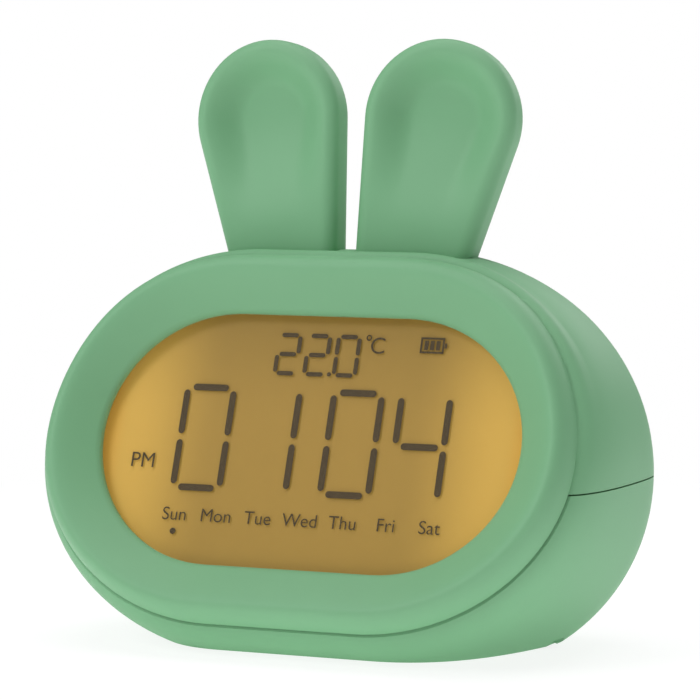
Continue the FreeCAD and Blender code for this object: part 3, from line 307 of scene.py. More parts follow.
def node(tree, kind, **sockets):
    """A new node whose sockets, by name, are set to values or linked to other nodes' outputs."""
    made = tree.nodes.new(kind)
    for name, value in sockets.items():
        fill(tree, made.inputs[name.replace("_", " ")], value)
    return made


def fill(tree, socket, value):
    """Set a socket to a value, or link it to an output."""
    if isinstance(value, bpy.types.NodeSocket):
        tree.links.new(value, socket)
    else:
        socket.default_value = value


def counted(tree, operation, first, second=None):
    """What a Math node makes of one or two values or outputs."""
    made = tree.nodes.new("ShaderNodeMath")
    made.operation = operation
    fill(tree, made.inputs[0], first)
    if second is not None:
        fill(tree, made.inputs[1], second)
    return made.outputs["Value"]


def place_of(tree):
    """The socket with a point's place on the object."""
    return tree.nodes.new("ShaderNodeTexCoord").outputs["Object"]


def mottle(tree, shader, colour, width, spread):
    """Let a colour wander a little from place to place, over patches of a width."""
    noise = node(tree, "ShaderNodeTexNoise", Vector=place_of(tree), Scale=1 / width, Detail=3.0)
    ramp = node(tree, "ShaderNodeValToRGB", Fac=noise.outputs["Fac"])
    ramp.color_ramp.elements[0].position, ramp.color_ramp.elements[1].position = 0.3, 0.7
    for element, share in zip(ramp.color_ramp.elements, (1 - spread, 1 + spread)):
        element.color = (*(min(part * share, 1.0) for part in colour[:3]), 1.0)
    tree.links.new(ramp.outputs["Color"], shader.inputs["Base Color"])


def grain(tree, shader, width, height, vector=None, strength=1.0):
    """A fine raised texture of grains of a width."""
    noise = node(tree, "ShaderNodeTexNoise", Vector=vector or place_of(tree), Scale=1 / width,
                 Detail=2.0)
    bump = node(tree, "ShaderNodeBump", Strength=strength, Distance=height,
                Height=noise.outputs["Fac"])
    tree.links.new(bump.outputs["Normal"], shader.inputs["Normal"])


def moulded_green(shell):
    """Soft matt green plastic, with a fine spark grain."""
    material, tree, shader = finish_of("moulded_green", shell.colour, shell.roughness, shine=0.35)
    mottle(tree, shader, shell.colour, width=14 * MM, spread=0.012)
    grain(tree, shader, shell.grain, shell.grain_height)
    return material


def plain_plastic(name, colour, roughness):
    material, tree, shader = finish_of(name, colour, roughness)
    mottle(tree, shader, colour, width=6 * MM, spread=0.04)
    grain(tree, shader, width=0.3 * MM, height=0.01 * MM)
    return material


def plated_steel(name, colour):
    """Plated steel with faint drawn lines along X."""
    material, tree, shader = finish_of(name, colour, 0.32, metal=1.0)
    drawn = node(tree, "ShaderNodeMapping", Vector=place_of(tree), Scale=(0.05, 1.0, 1.0))
    grain(tree, shader, width=0.12 * MM, height=0.005 * MM, vector=drawn.outputs["Vector"],
          strength=0.4)
    mottle(tree, shader, colour, width=4 * MM, spread=0.05)
    return material


def circuit_board(name):
    """Green solder mask with faint tracks beneath it."""
    mask, track = ink(18, 82, 46), ink(34, 116, 66)
    material, tree, shader = finish_of(name, mask, 0.3)
    bricks = node(tree, "ShaderNodeTexBrick", Vector=place_of(tree), Scale=1 / (2.4 * MM),
                  Mortar_Size=0.06, Color1=mask, Color2=mask, Mortar=track)
    tree.links.new(bricks.outputs["Color"], shader.inputs["Base Color"])
    return material


def clear_window():
    """The thin clear cover, which shows what is behind it and a faint soft shine."""
    material, tree, shader = finish_of("clear_window", ink(226, 180, 90), 0.22, shine=0.15)
    shader.inputs["Alpha"].default_value = 0.02
    grain(tree, shader, width=0.4 * MM, height=0.0005 * MM)
    return material


def lit_panel(display):
    """Amber light that is strongest at the two ends, where the lamps are, and fades to the middle.

    The lamps' light at the ends is painted into its colour, with a little glow of its own, and its
    upper part gets a painted shade of the ring.
    """
    material, tree, shader = finish_of("lit_panel", display.dim, 0.45, shine=0.15)
    split = node(tree, "ShaderNodeSeparateXYZ", Vector=place_of(tree)).outputs
    side = counted(tree, "DIVIDE", counted(tree, "ABSOLUTE", split["X"]), display.half_width)
    # painted light: the lamps' light at the two ends, painted into the base colour and the glow
    ramp = node(tree, "ShaderNodeValToRGB", Fac=side)
    ramp.color_ramp.interpolation = "EASE"
    first, last = ramp.color_ramp.elements
    first.position, first.color = LIGHT_STARTS, display.dim
    last.position, last.color = LIGHT_RISEN, display.lit
    ramp.color_ramp.elements.new(1.0).color = display.rim
    # -1 at the middle of the display's lower edge, 1 at its upper edge
    up = counted(tree, "DIVIDE", counted(tree, "SUBTRACT", split["Z"], display.middle_height),
                 display.half_height)
    # painted shade of the ring over the upper part of the display
    painted_ring_shade = node(tree, "ShaderNodeMapRange", Value=up, From_Min=PAINTED_SHADE_STARTS, From_Max=PAINTED_SHADE_ENDS,
                 To_Min=1.0, To_Max=PAINTED_SHADE_LIGHT)
    painted_ring_shade.interpolation_type = "SMOOTHSTEP"
    shaded = tree.nodes.new("ShaderNodeVectorMath")
    shaded.operation = "SCALE"
    fill(tree, shaded.inputs["Vector"], ramp.outputs["Color"])
    fill(tree, shaded.inputs["Scale"], painted_ring_shade.outputs["Result"])
    for name in ("Base Color", "Emission Color"):
        tree.links.new(shaded.outputs["Vector"], shader.inputs[name])
    shader.inputs["Emission Strength"].default_value = display.glow
    return material


def printed_mark(display):
    """The dark of a figure or word, a little uneven."""
    material, tree, shader = finish_of("printed_mark", display.mark, 0.6)
    mottle(tree, shader, display.mark, width=1.5 * MM, spread=0.05)
    grain(tree, shader, width=0.2 * MM, height=0.004 * MM)
    return material


def placed(name, data):
    """A new object in the scene."""
    piece = bpy.data.objects.new(name, data)
    bpy.context.scene.collection.objects.link(piece)
    return piece


def give(material, *names):
    """Put a material in every slot of the named pieces of the frame."""
    for name in names:
        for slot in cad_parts[name].material_slots:
            slot.material = material


# The upper shell: the CAD shell with a flatter, fuller front ring


def ring_ovals(ring, share, raised):
    """Sizes of the outline at a share of the way from the lip (0) to the seam (1).

    Each outline has two straight runs joined by half ellipses. Raised outlines reach higher at the top.
    """
    def mixed(first, last):
        return first + share * (last - first)

    straight = mixed(ring.lip_straight, ring.seam_straight)
    half_width = mixed(ring.lip_half_width, ring.seam_half_width)
    below = mixed(ring.lip_half_height, ring.seam_half_height)
    above = mixed(ring.lip_half_height, ring.seam_half_height + (ring.top_rise if raised else 0.0))
    fullness = share * ring.corner_fullness if raised else 0.0 * share
    return straight, half_width - straight, above, below, share * ring.seam_drop, fullness


def share_at(ring, u, v):
    """How far out a point lies: 0 at the lip, 1 at the seam, more beyond it."""
    low, high = np.zeros_like(u), np.full_like(u, MOST_SHARE)
    for _ in range(HALVINGS):
        share = (low + high) / 2
        straight, reach, above, below, drop, _ = ring_ovals(ring, share, False)
        across = np.maximum(np.abs(u) - straight, 0.0) / reach
        inside = across ** 2 + ((v + drop) / below) ** 2 < 1.0
        high, low = np.where(inside, share, high), np.where(inside, low, share)
    return (low + high) / 2


def moved_out(ring, u, v, share, new_share, raised):
    """The point with the same place along the outline, on the outline of another share."""
    straight, reach, above, below, drop, _ = ring_ovals(ring, share, False)
    across = np.clip((np.abs(u) - straight) / reach, 0.0, 1.0)
    along = np.clip(np.abs(u) / straight, 0.0, 1.0)
    up = np.clip((v + drop) / below, -1.0, 1.0)
    straight, reach, above, below, drop, fullness = ring_ovals(ring, new_share, raised)
    corner = np.where(up > 0, 4 * fullness * up ** 2 * (1 - up ** 2), 0.0)
    new_u = np.sign(u) * (straight * along + reach * across)
    new_v = np.where(up > 0, above, below) * up - drop + corner
    return new_u, new_v


def fuller_ring(ring, places):
    """Where points of the shell go: face places (u, v, level) in, face places out."""
    u, v, level = places.T
    share = share_at(ring, u, v)
    on_ring = np.minimum(share, 1.0)
    # cross-section of the ring: from half an ellipse to a plain slope, a crest and a tight outer round
    rise = (level + ring.seam_back) / ring.height
    turn = np.arctan2(np.maximum(rise, 0.0), 2 * on_ring - 1)
    crest_turn = pi * ring.crest_turn
    outer = np.clip(turn / crest_turn, 0.0, 1.0) * pi / 2
    inner = np.clip((pi - turn) / (pi - crest_turn), 0.0, 1.0)
    new_share = np.where(turn < crest_turn, ring.crest + (1 - ring.crest) * np.cos(outer),
                         ring.crest * inner)
    slope = (1 + SLOPE_BULGE) * inner - SLOPE_BULGE * inner ** SLOPE_POWER
    new_rise = ring.crest_height * np.where(turn < crest_turn, np.sin(outer) ** ROUND_POWER, slope)
    spread = np.minimum(np.hypot(rise, 2 * on_ring - 1), 1.0) * (rise > 0) * (share < 1.02)
    share_step = spread * (new_share - (1 + np.cos(turn)) / 2)
    rise_step = spread * (new_rise - np.sin(turn))
    # what is behind the ring follows it less and less
    follow = np.clip(1 + (level + ring.seam_back) / ring.follow_depth, 0.0, 1.0) ** FOLLOW_POWER
    at = np.clip(on_ring, 0.0, 1.0)
    old = moved_out(ring, u, v, share, at, False)
    new = moved_out(ring, u, v, share, np.clip(at + share_step, 0.0, 1.0), True)
    return np.stack([u + follow * (new[0] - old[0]), v + follow * (new[1] - old[1]),
                     level + ring.height * rise_step], axis=1)


def values_of(items, attribute, width, kind=float):
    """What a run of mesh items says, one row for each."""
    values = np.zeros(len(items) * width, dtype=kind)
    items.foreach_get(attribute, values)
    return values.reshape(-1, width)


def unit(vectors):
    """Rows of vectors, each made one long."""
    return vectors / np.maximum(np.linalg.norm(vectors, axis=1, keepdims=True), TINY)


def reshaped(source, name, field, soft):
    """A merged copy of a CAD piece with each point moved by a field, and its smooth shading with it.

    Where soft says so, an edge between two faces is shaded as one surface.
    """
    mesh = source.data
    places = values_of(mesh.vertices, "co", 3)
    corners = values_of(mesh.loops, "vertex_index", 1, np.int64).ravel()
    normals = values_of(mesh.corner_normals, "vector", 3)
    kept, merged = np.unique(np.round(places / MERGED).astype(np.int64), axis=0,
                             return_inverse=True)
    faces = merged.ravel()[corners].reshape(-1, 3)
    whole = (faces[:, 0] != faces[:, 1]) & (faces[:, 1] != faces[:, 2]) & (faces[:, 2] != faces[:, 0])
    at = places[corners]
    aside = unit(np.cross(normals, np.where(np.abs(normals[:, 2:]) < 0.9, (0, 0, 1), (1, 0, 0))))
    over = np.cross(normals, aside)
    aside, over = NORMAL_REACH * aside, NORMAL_REACH * over
    turned = unit(np.cross(field(at + aside) - field(at - aside),
                           field(at + over) - field(at - over)))
    # the mean of the corners that meet at a point, where the edges there are soft
    total = np.zeros((len(kept), 3))
    np.add.at(total, faces.ravel(), turned)
    mean = unit(total)[faces.ravel()]
    blend = soft(kept * MERGED)[faces.ravel()] & ((mean * turned).sum(axis=1) > 0.5)
    turned = np.where(blend[:, None], mean, turned)
    made = bpy.data.meshes.new(name)
    made.from_pydata(field(kept * MERGED).tolist(), [], faces[whole].tolist())
    made.polygons.foreach_set("use_smooth", [True] * len(made.polygons))
    made.normals_split_custom_set(turned.reshape(-1, 3, 3)[whole].reshape(-1, 3).tolist())
    return placed(name, made)


# Ears


def spoon_outline(tip_radius, tip_height, root_radius, root_height):
    """Columns round two circles and their tangents: a round's middle, the way outwards, the radius."""
    taper = asin((tip_radius - root_radius) / (tip_height - root_height))
    start, end = -taper, pi + taper

    def side(height, radius, last_height, last_radius, angle):
        return [(height + (last_height - height) * (step / SIDE_STEPS), angle,
                 radius + (last_radius - radius) * (step / SIDE_STEPS))
                for step in range(1, SIDE_STEPS)]

    tip = [(tip_height, start + (end - start) * step / TIP_STEPS, tip_radius)
           for step in range(TIP_STEPS + 1)]
    root = [(root_height, end + (pi - 2 * taper) * step / ROOT_STEPS, root_radius)
            for step in range(ROOT_STEPS + 1)]
    columns = (tip + side(tip_height, tip_radius, root_height, root_radius, end)
               + root + side(root_height, root_radius, tip_height, tip_radius, start))
    height, angle, radius = np.array(columns).T
    return height, np.cos(angle), np.sin(angle), radius


def smooth(share):
    share = np.clip(share, 0.0, 1.0)
    return share * share * (3 - 2 * share)


def ear_rings(ears):
    """The ear's skin in its own frame: rings from the cover's pocket round the edge into the dish."""
    height, across, up, radius = spoon_outline(
        ears.tip_radius, ears.tip_height, ears.root_radius, -ears.root_depth)
    cover = spoon_outline(ears.cover_tip_radius, ears.cover_tip_height,
                          ears.cover_root_radius, ears.cover_root_height)
    half, front, rear = ears.thickness / 2, ears.front_round, ears.rear_round

    def ring(inset, depth):
        kept = radius - inset
        z = height + up * kept
        dished = ears.dish_depth * smooth((inset - ears.dish_rim) / ears.dish_slope) * smooth(
            (z + ears.dish_fade_low) / (ears.dish_full + ears.dish_fade_low))
        return np.stack([across * kept, dished * (depth < 0) + depth, z], axis=1)

    def cover_ring(share, depth):
        middle, cover_across, cover_up, cover_radius = cover
        return np.stack([cover_across * cover_radius * share, np.full_like(middle, depth),
                         middle + cover_up * cover_radius * share], axis=1)

    floor = half - ears.cover_pocket
    rings = [cover_ring(0.0, floor), cover_ring(1.0, floor), cover_ring(1.0, half - COVER_LIP)]
    for step in reversed(range(EDGE_STEPS + 1)):
        angle = COVER_EDGE_TURN * step / EDGE_STEPS
        rings.append(ring(rear * (1 - cos(angle)), half - rear * (1 - sin(angle))))
    for step in range(EDGE_STEPS + 1):
        angle = pi / 2 * step / EDGE_STEPS
        rings.append(ring(front * (1 - cos(angle)), -half + front * (1 - sin(angle))))
    for step in range(1, DISH_STEPS + 1):
        share = (step / DISH_STEPS) ** DISH_SPACING
        rings.append(ring(front + (radius - front) * share, -half))
    return rings


def ear_placement(ears, side):
    place = Matrix.Translation((side * ears.place_x, ears.place_y, ears.place_z))
    return (place @ Matrix.Rotation(side * ears.turn, 4, "Z") @ Matrix.Rotation(-ears.lean, 4, "X")
            @ Matrix.Rotation(side * ears.splay, 4, "Y"))


def seated(tree, place, axis, aside, sink):
    """A point of the ear, or where the ear's foot ends if the point lies deeper in the shell."""
    for way in (0.0, 4 * MM, -4 * MM):
        start = place + aside * way + axis * RAY_START
        hit = tree.ray_cast(start, -axis)[0]
        if hit:
            return place + axis * max(RAY_START - (hit - start).length - sink, 0.0)
    return place


def ear(name, side, ears, tree):
    place = ear_placement(ears, side)
    axis, aside = place.to_3x3() @ Vector((0, 0, 1)), place.to_3x3() @ Vector((0, 1, 0))
    made = bmesh.new()
    rings = []
    for ring in ear_rings(ears):
        rings.append([made.verts.new(seated(
            tree, place @ (Vector(point) - Vector((side * ears.inwards, 0, 0))), axis, aside,
            ears.sink)) for point in ring])
    skinned(made, rings)
    bmesh.ops.remove_doubles(made, verts=made.verts, dist=EAR_WELD)
    low, high = -ears.peg_reach, ears.peg_length - ears.peg_reach
    corners = [(ears.peg_bore, high - ABOVE_BORE), (ears.peg_bore, low), (ears.peg_radius, low),
               (ears.peg_radius, high)]
    for peg in (-ears.peg_spread, ears.peg_spread):
        lathe(made, place @ Matrix.Translation((peg, 0, 0)), corners)
    bmesh.ops.recalc_face_normals(made, faces=made.faces)
    mesh = bpy.data.meshes.new(name)
    made.to_mesh(mesh)
    made.free()
    mesh.polygons.foreach_set("use_smooth", [True] * len(mesh.polygons))
    mesh.set_sharp_from_angle(angle=SHARP_FROM)
    return placed(name, mesh)


def skinned(made, rings):
    """Add the faces between each ring of points and the next."""
    for first, second in zip(rings, rings[1:]):
        for at in range(len(first)):
            made.faces.new((first[at - 1], first[at], second[at], second[at - 1]))


def lathe(made, place, corners):
    """Add a closed turned form to a mesh: corners are (radius, height), its two ends are capped."""
    turns = [2 * pi * step / PEG_STEPS for step in range(PEG_STEPS)]
    rings = [[made.verts.new(place @ Vector((radius * cos(turn), radius * sin(turn), height)))
              for turn in turns] for radius, height in corners]
    skinned(made, rings)
    made.faces.new(rings[0])
    made.faces.new(rings[-1])


# Marks, made of bars on points


def new_tree(name, labels):
    """A node tree that takes points, the labelled sizes and a material: also its sockets' identifiers
    by label, and the outputs that bring their values."""
    tree = bpy.data.node_groups.new(name, "GeometryNodeTree")
    tree.interface.new_socket("Geometry", in_out="OUTPUT", socket_type="NodeSocketGeometry")
    kinds = {"Points": "Geometry", **{label: "Float" for label in labels}, "Material": "Material"}
    inputs = {label: tree.interface.new_socket(
        label, in_out="INPUT", socket_type=f"NodeSocket{kind}").identifier
        for label, kind in kinds.items()}
    return tree, inputs, tree.nodes.new("NodeGroupInput").outputs


def laid_out(tree, given, geometry, **sockets):
    """End a tree: put its geometry on each point, as plain mesh with the given material."""
    laid = node(tree, "GeometryNodeInstanceOnPoints", Points=given["Points"], Instance=geometry,
                **sockets)
    real = node(tree, "GeometryNodeRealizeInstances", Geometry=laid.outputs["Instances"])
    painted = node(tree, "GeometryNodeSetMaterial", Geometry=real.outputs["Geometry"],
                   Material=given["Material"])
    node(tree, "NodeGroupOutput", Geometry=painted.outputs["Geometry"])


def bar_tree(name):
    """A node tree that lays a rounded flat bar on each point of a mesh.

    A point's own turn and stretch, stored on the mesh, turn and scale its bar.
    """
    tree, inputs, given = new_tree(name, ("Length", "Width", "Corner", "Thickness"))
    outline = node(tree, "GeometryNodeCurvePrimitiveQuadrilateral", Width=given["Length"],
                   Height=given["Width"])
    rounded = tree.nodes.new("GeometryNodeFilletCurve")
    rounded.mode = "POLY"
    for label, value in (("Curve", outline.outputs["Curve"]), ("Radius", given["Corner"]),
                         ("Count", BAR_CORNER_STEPS), ("Limit Radius", True)):
        fill(tree, rounded.inputs[label], value)
    flat = node(tree, "GeometryNodeFillCurve", Curve=rounded.outputs["Curve"])
    flat.mode = "NGONS"
    raised = node(tree, "GeometryNodeExtrudeMesh", Mesh=flat.outputs["Mesh"],
                  Offset_Scale=given["Thickness"])
    raised.mode = "FACES"
    under = node(tree, "GeometryNodeFlipFaces", Mesh=flat.outputs["Mesh"])
    closed = node(tree, "GeometryNodeJoinGeometry", Geometry=raised.outputs["Mesh"])
    tree.links.new(under.outputs["Mesh"], closed.inputs["Geometry"])
    welded = node(tree, "GeometryNodeMergeByDistance", Geometry=closed.outputs["Geometry"],
                  Distance=WELD)
    own = {}
    for socket, attribute in (("Rotation", "turn"), ("Scale", "stretch")):
        read = node(tree, "GeometryNodeInputNamedAttribute", Name=attribute)
        read.data_type = "FLOAT_VECTOR"
        own[socket] = read.outputs["Attribute"]
    laid_out(tree, given, welded.outputs["Geometry"], **own)
    return tree, inputs


def pointed(name, points):
    """A mesh of loose points, each given as (place, turn about Z, stretch)."""
    mesh = bpy.data.meshes.new(name)
    mesh.from_pydata([place for place, _, _ in points], [], [])
    turn = mesh.attributes.new("turn", "FLOAT_VECTOR", "POINT")
    stretch = mesh.attributes.new("stretch", "FLOAT_VECTOR", "POINT")
    for index, (_, angle, scale) in enumerate(points):
        turn.data[index].vector = (0.0, 0.0, angle)
        stretch.data[index].vector = scale
    return placed(name, mesh)


def settled(piece, tree, inputs, values, place):
    """Run a node tree on a piece, keep its result as a plain mesh and move that to its place."""
    modifier = piece.modifiers.new(tree.name, "NODES")
    modifier.node_group = tree
    for label, value in values.items():
        modifier[inputs[label]] = value
    made = plain_mesh(piece)
    if not made.polygons:
        raise RuntimeError(f"the node tree {tree.name} made nothing for {piece.name}")
    made.transform(place)
    piece.modifiers.clear()
    piece.data = made
    return piece


def plain_mesh(piece):
    """What a piece looks like with its modifiers, as a mesh of its own."""
    bpy.context.view_layer.update()
    graph = bpy.context.evaluated_depsgraph_get()
    made = bpy.data.meshes.new_from_object(piece.evaluated_get(graph))
    made.name = piece.name
    return made


def on_face(level):
    """From the front plane to a level behind it."""
    return FACE_PLACE @ Matrix.Translation(Vector((0.0, 0.0, -level)))


def figure_points(figures, width, height):
    """Where the bars of some figures lie. Figures are (figure, u, v) with u, v the figure's middle."""
    upright = (height / 2 - GAP_SHARE * height) / (width - 2 * GAP_SHARE * height)
    points = []
    for figure, u, v in figures:
        for bar in FIGURE_BARS[figure]:
            across, up, turned = BAR_PLACES[bar]
            place = (u + across * width / 2, v + up * height / 2, 0.0)
            points.append((place, turned * pi / 2, (upright if turned else 1.0, 1.0, 1.0)))
    return points


def bars(name, points, length, width, corner, display, material):
    tree, inputs = bar_tree(name)
    values = {"Length": length, "Width": width, "Corner": corner,
              "Thickness": display.mark_thickness, "Material": material}
    piece = settled(pointed(name, points), tree, inputs, values, on_face(display.level))
    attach(piece, "housing")
    return piece


def written(name, text, u, v, height, display, material):
    """A word in the front plane, its middle at u, v in millimetres and its capitals of a height."""
    curve = bpy.data.curves.new(name, "FONT")
    curve.body = text
    curve.align_x, curve.align_y = "CENTER", "CENTER"
    curve.size = height / CAPITAL_SHARE
    curve.extrude = display.mark_thickness / 2
    curve.offset = -THINNING * curve.size
    piece = placed(name, curve)
    made = plain_mesh(piece)
    bpy.data.objects.remove(piece)
    made.transform(on_face(display.level) @ Matrix.Translation(Vector((u, v, 0.0)) * MM))
    made.materials.clear()
    made.materials.append(material)
    return made


def joined(name, meshes, material):
    """Several meshes as one piece that rides on the housing."""
    vertices, faces = [], []
    for mesh in meshes:
        start = len(vertices)
        vertices += [tuple(vertex.co) for vertex in mesh.vertices]
        faces += [[start + index for index in polygon.vertices] for polygon in mesh.polygons]
        bpy.data.meshes.remove(mesh)
    whole = bpy.data.meshes.new(name)
    whole.from_pydata(vertices, [], faces)
    whole.materials.append(material)
    piece = placed(name, whole)
    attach(piece, "housing")
    return piece


# Screws


def screw_tree(name):
    """A node tree that puts a pan-head screw with a cross recess on each point of a mesh, head up."""
    tree, inputs, given = new_tree(name, SCREW_SIZES)

    def scaled(label, factor):
        return counted(tree, "MULTIPLY", given[label], factor)

    def vector(**parts):
        return node(tree, "ShaderNodeCombineXYZ", **parts).outputs["Vector"]

    def lifted(mesh, height):
        moved = node(tree, "GeometryNodeTransform", Geometry=mesh, Translation=vector(Z=height))
        return moved.outputs["Geometry"]

    head = node(tree, "GeometryNodeMeshCone", Vertices=HEAD_SIDES, Radius_Bottom=given["Head Radius"],
                Radius_Top=scaled("Head Radius", HEAD_TOP), Depth=given["Head Height"])
    cut = node(tree, "GeometryNodeMeshBoolean", Mesh_1=head.outputs["Mesh"])
    cut.operation = "DIFFERENCE"
    wide, narrow = scaled("Head Radius", CROSS_REACH), scaled("Head Radius", CROSS_WIDTH)
    tall = scaled("Recess", 2.0)
    for size in (vector(X=wide, Y=narrow, Z=tall), vector(X=narrow, Y=wide, Z=tall)):
        arm = node(tree, "GeometryNodeMeshCube", Size=size)
        tree.links.new(lifted(arm.outputs["Mesh"], given["Head Height"]), cut.inputs["Mesh 2"])
    shank = node(tree, "GeometryNodeMeshCylinder", Vertices=SHANK_SIDES,
                 Radius=given["Shank Radius"], Depth=given["Shank Length"])
    whole = node(tree, "GeometryNodeJoinGeometry", Geometry=cut.outputs["Mesh"])
    # the shank reaches a little into the head
    tree.links.new(lifted(shank.outputs["Mesh"], scaled("Shank Length", -SHANK_DROP)),
                   whole.inputs["Geometry"])
    laid_out(tree, given, whole.outputs["Geometry"])
    return tree, inputs


def screws(name, seats, place, sizes, material):
    """Screws whose heads sit on points of the clock, and stand up along a place's Z."""
    tree, inputs = screw_tree(name)
    values = {label: getattr(sizes, label.lower().replace(" ", "_")) for label in SCREW_SIZES}
    values["Material"] = material
    back = place.inverted()
    points = [(back @ Vector(seat), 0.0, (1.0, 1.0, 1.0)) for seat in seats]
    piece = settled(pointed(name, points), tree, inputs, values, place)
    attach(piece, "housing")


# Operators, one for each piece or group of like pieces


class CLOCK_OT_shells(bpy.types.Operator):
    """Make the upper shell with its fuller ring, and give all shells their moulded finish"""

    bl_idname = "clock.shells"
    bl_label = "Shells and ears"

    def execute(self, context):
        green = moulded_green(context.scene.clock_shell)
        ring = context.scene.clock_ring
        to_face = np.array(FACE_PLACE.inverted())
        from_face = np.array(FACE_PLACE)

        def field(places):
            local = places @ to_face[:3, :3].T + to_face[:3, 3]
            return fuller_ring(ring, local) @ from_face[:3, :3].T + from_face[:3, 3]

        def soft(places):
            _, v, level = (places @ to_face[:3, :3].T + to_face[:3, 3]).T
            return (np.abs(level + ring.seam_back) < SEAM_BAND) & (v > 0)

        shell = reshaped(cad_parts["upper_housing"], "upper_shell", field, soft)
        shell.data.materials.append(green)
        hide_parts("upper_housing")
        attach(shell, "housing")
        give(green, "upper_housing", "lower_housing", "left_ear", "right_ear", "left_ear_back",
             "right_ear_back", "alarm_button", "down_button", "up_button", "light_button")
        return {"FINISHED"}


class CLOCK_OT_ears(bpy.types.Operator):
    """Make the two dished ears"""

    bl_idname = "clock.ears"
    bl_label = "Ears"

    def execute(self, context):
        ears = context.scene.clock_ears
        shell = bpy.data.objects["upper_shell"]
        tree = BVHTree.FromPolygons([vertex.co for vertex in shell.data.vertices],
                                    [polygon.vertices for polygon in shell.data.polygons])
        for name, side in (("left_ear", -1), ("right_ear", 1)):
            piece = ear(f"{name}_dished", side, ears, tree)
            piece.data.materials.append(shell.data.materials[0])
            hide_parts(name)
            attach(piece, "housing")
        return {"FINISHED"}


class CLOCK_OT_display(bpy.types.Operator):
    """Light the display behind its clear window"""

    bl_idname = "clock.display"
    bl_label = "Display"

    def execute(self, context):
        display = context.scene.clock_display
        give(clear_window(), "display_window")
        give(lit_panel(display), "lcd_panel", "diffuser_sheet")
        give(plain_plastic("guide_acrylic", ink(232, 228, 214), 0.15), "light_guide")
        give(plain_plastic("white_sheet", ink(236, 236, 232), 0.5), "reflector_sheet", "display_frame")
        return {"FINISHED"}


class CLOCK_OT_figures(bpy.types.Operator):
    """Lay out the bars of the hour and temperature figures"""

    bl_idname = "clock.figures"
    bl_label = "Figures"

    def execute(self, context):
        display, sizes = context.scene.clock_display, context.scene.clock_figures
        material = printed_mark(display)
        for kind, text, middles, level in (("hour", HOURS, HOUR_MIDDLES, HOUR_LEVEL),
                                           ("degree", DEGREES, DEGREE_MIDDLES, DEGREE_LEVEL)):
            width, height, bar = (getattr(sizes, f"{kind}_{size}")
                                  for size in ("width", "height", "bar"))
            figures = [(figure, middle * MM, level * MM) for figure, middle in zip(text, middles)]
            bars(f"{kind}_figures", figure_points(figures, width, height),
                 width - 2 * GAP_SHARE * height, bar, bar / 2, display, material)
        return {"FINISHED"}


class CLOCK_OT_signs(bpy.types.Operator):
    """Add the decimal point, the day dot, the degree ring and the battery sign"""

    bl_idname = "clock.signs"
    bl_label = "Signs"

    def execute(self, context):
        display = context.scene.clock_display
        material = printed_mark(display)

        def mark(u, v, across, up, angle=0.0):
            """A bar of a width and height, in millimetres, with its middle at u, v."""
            return (u * MM, v * MM, 0.0), angle, (across, up, 1.0)

        dots = [mark(*place, width, width) for place, width in (
            (POINT_PLACE, POINT_WIDTH), (DAY_DOT_PLACE, DAY_DOT_WIDTH))]
        bars("dots", dots, MM, MM, MM / 2, display, material)
        u, v = BATTERY_PLACE
        long, short = BATTERY_WIDTH + BATTERY_LINE, BATTERY_HEIGHT
        battery = [mark(u, v + side * short / 2, long, BATTERY_LINE) for side in (-1, 1)]
        battery += [mark(u + side * BATTERY_WIDTH / 2, v, BATTERY_LINE, short) for side in (-1, 1)]
        battery += [mark(u + step * CHARGE_PITCH, v, *CHARGE_SIZE) for step in (-1, 0, 1)]
        battery.append(mark(u + BATTERY_WIDTH / 2 + CAP_REACH, v, *CAP_SIZE))
        bars("battery_sign", battery, MM, MM, BATTERY_CORNER * MM, display, material)
        u, v = DEGREE_RING_PLACE
        length = 2 * pi * DEGREE_RING_RADIUS / DEGREE_RING_STEPS + DEGREE_RING_LAP
        ring = []
        for step in range(DEGREE_RING_STEPS):
            angle = 2 * pi * step / DEGREE_RING_STEPS
            ring.append(mark(u + DEGREE_RING_RADIUS * cos(angle), v + DEGREE_RING_RADIUS * sin(angle),
                             length, DEGREE_RING_LINE, angle + pi / 2))
        bars("degree_ring", ring, MM, MM, DEGREE_RING_CORNER * MM, display, material)
        return {"FINISHED"}


class CLOCK_OT_words(bpy.types.Operator):
    """Write the names of the days, the half of the day and the unit of temperature"""

    bl_idname = "clock.words"
    bl_label = "Words"

    def execute(self, context):
        display = context.scene.clock_display
        height = context.scene.clock_figures.word_height
        material = printed_mark(display)
        meshes = [written(day, day, FIRST_DAY + number * DAY_PITCH, DAY_LEVEL, height, display,
                          material) for number, day in enumerate(DAYS)]
        joined("day_names", meshes, material)
        afternoon = written("afternoon", "PM", *AFTERNOON_PLACE, AFTERNOON_HEIGHT * MM, display,
                            material)
        unit = written("unit", "C", *UNIT_PLACE, UNIT_HEIGHT * MM, display, material)
        joined("half_day_and_unit", [afternoon, unit], material)
        return {"FINISHED"}


class CLOCK_OT_inside(bpy.types.Operator):
    """Give the boards, metal, rubber and films inside their finishes"""

    bl_idname = "clock.inside"
    bl_label = "Inside and rear"

    def execute(self, context):
        black = plain_plastic("black_plastic", ink(34, 34, 36), 0.45)
        steel = plated_steel("plated_steel", ink(196, 197, 200))
        give(circuit_board("circuit_board"), "main_board", "button_board", "socket_board",
             "lamp_boards")
        give(steel, "ear_screws", "housing_screws", "crystal", "capacitors", "tap_sensor",
             "push_switches", "speaker_frame", "speaker_magnet", "battery_strap", "charge_socket",
             "slide_switch")
        give(black, "controller_chip", "temperature_sensor", "switch_knob", "alarm_plunger",
             "down_plunger", "up_plunger", "light_plunger")
        give(plain_plastic("foot_rubber", ink(52, 54, 52), 0.8), "rubber_feet", "speaker_gasket")
        give(plain_plastic("amber_film", ink(196, 128, 48), 0.35), "display_flex", "speaker_cone")
        give(plain_plastic("lamp_amber", ink(244, 208, 120), 0.3), "side_lamps")
        give(plain_plastic("white_socket", ink(232, 230, 222), 0.4), "wire_sockets")
        give(plain_plastic("cell_wrap", ink(70, 116, 170), 0.3), "battery_cell")
        return {"FINISHED"}


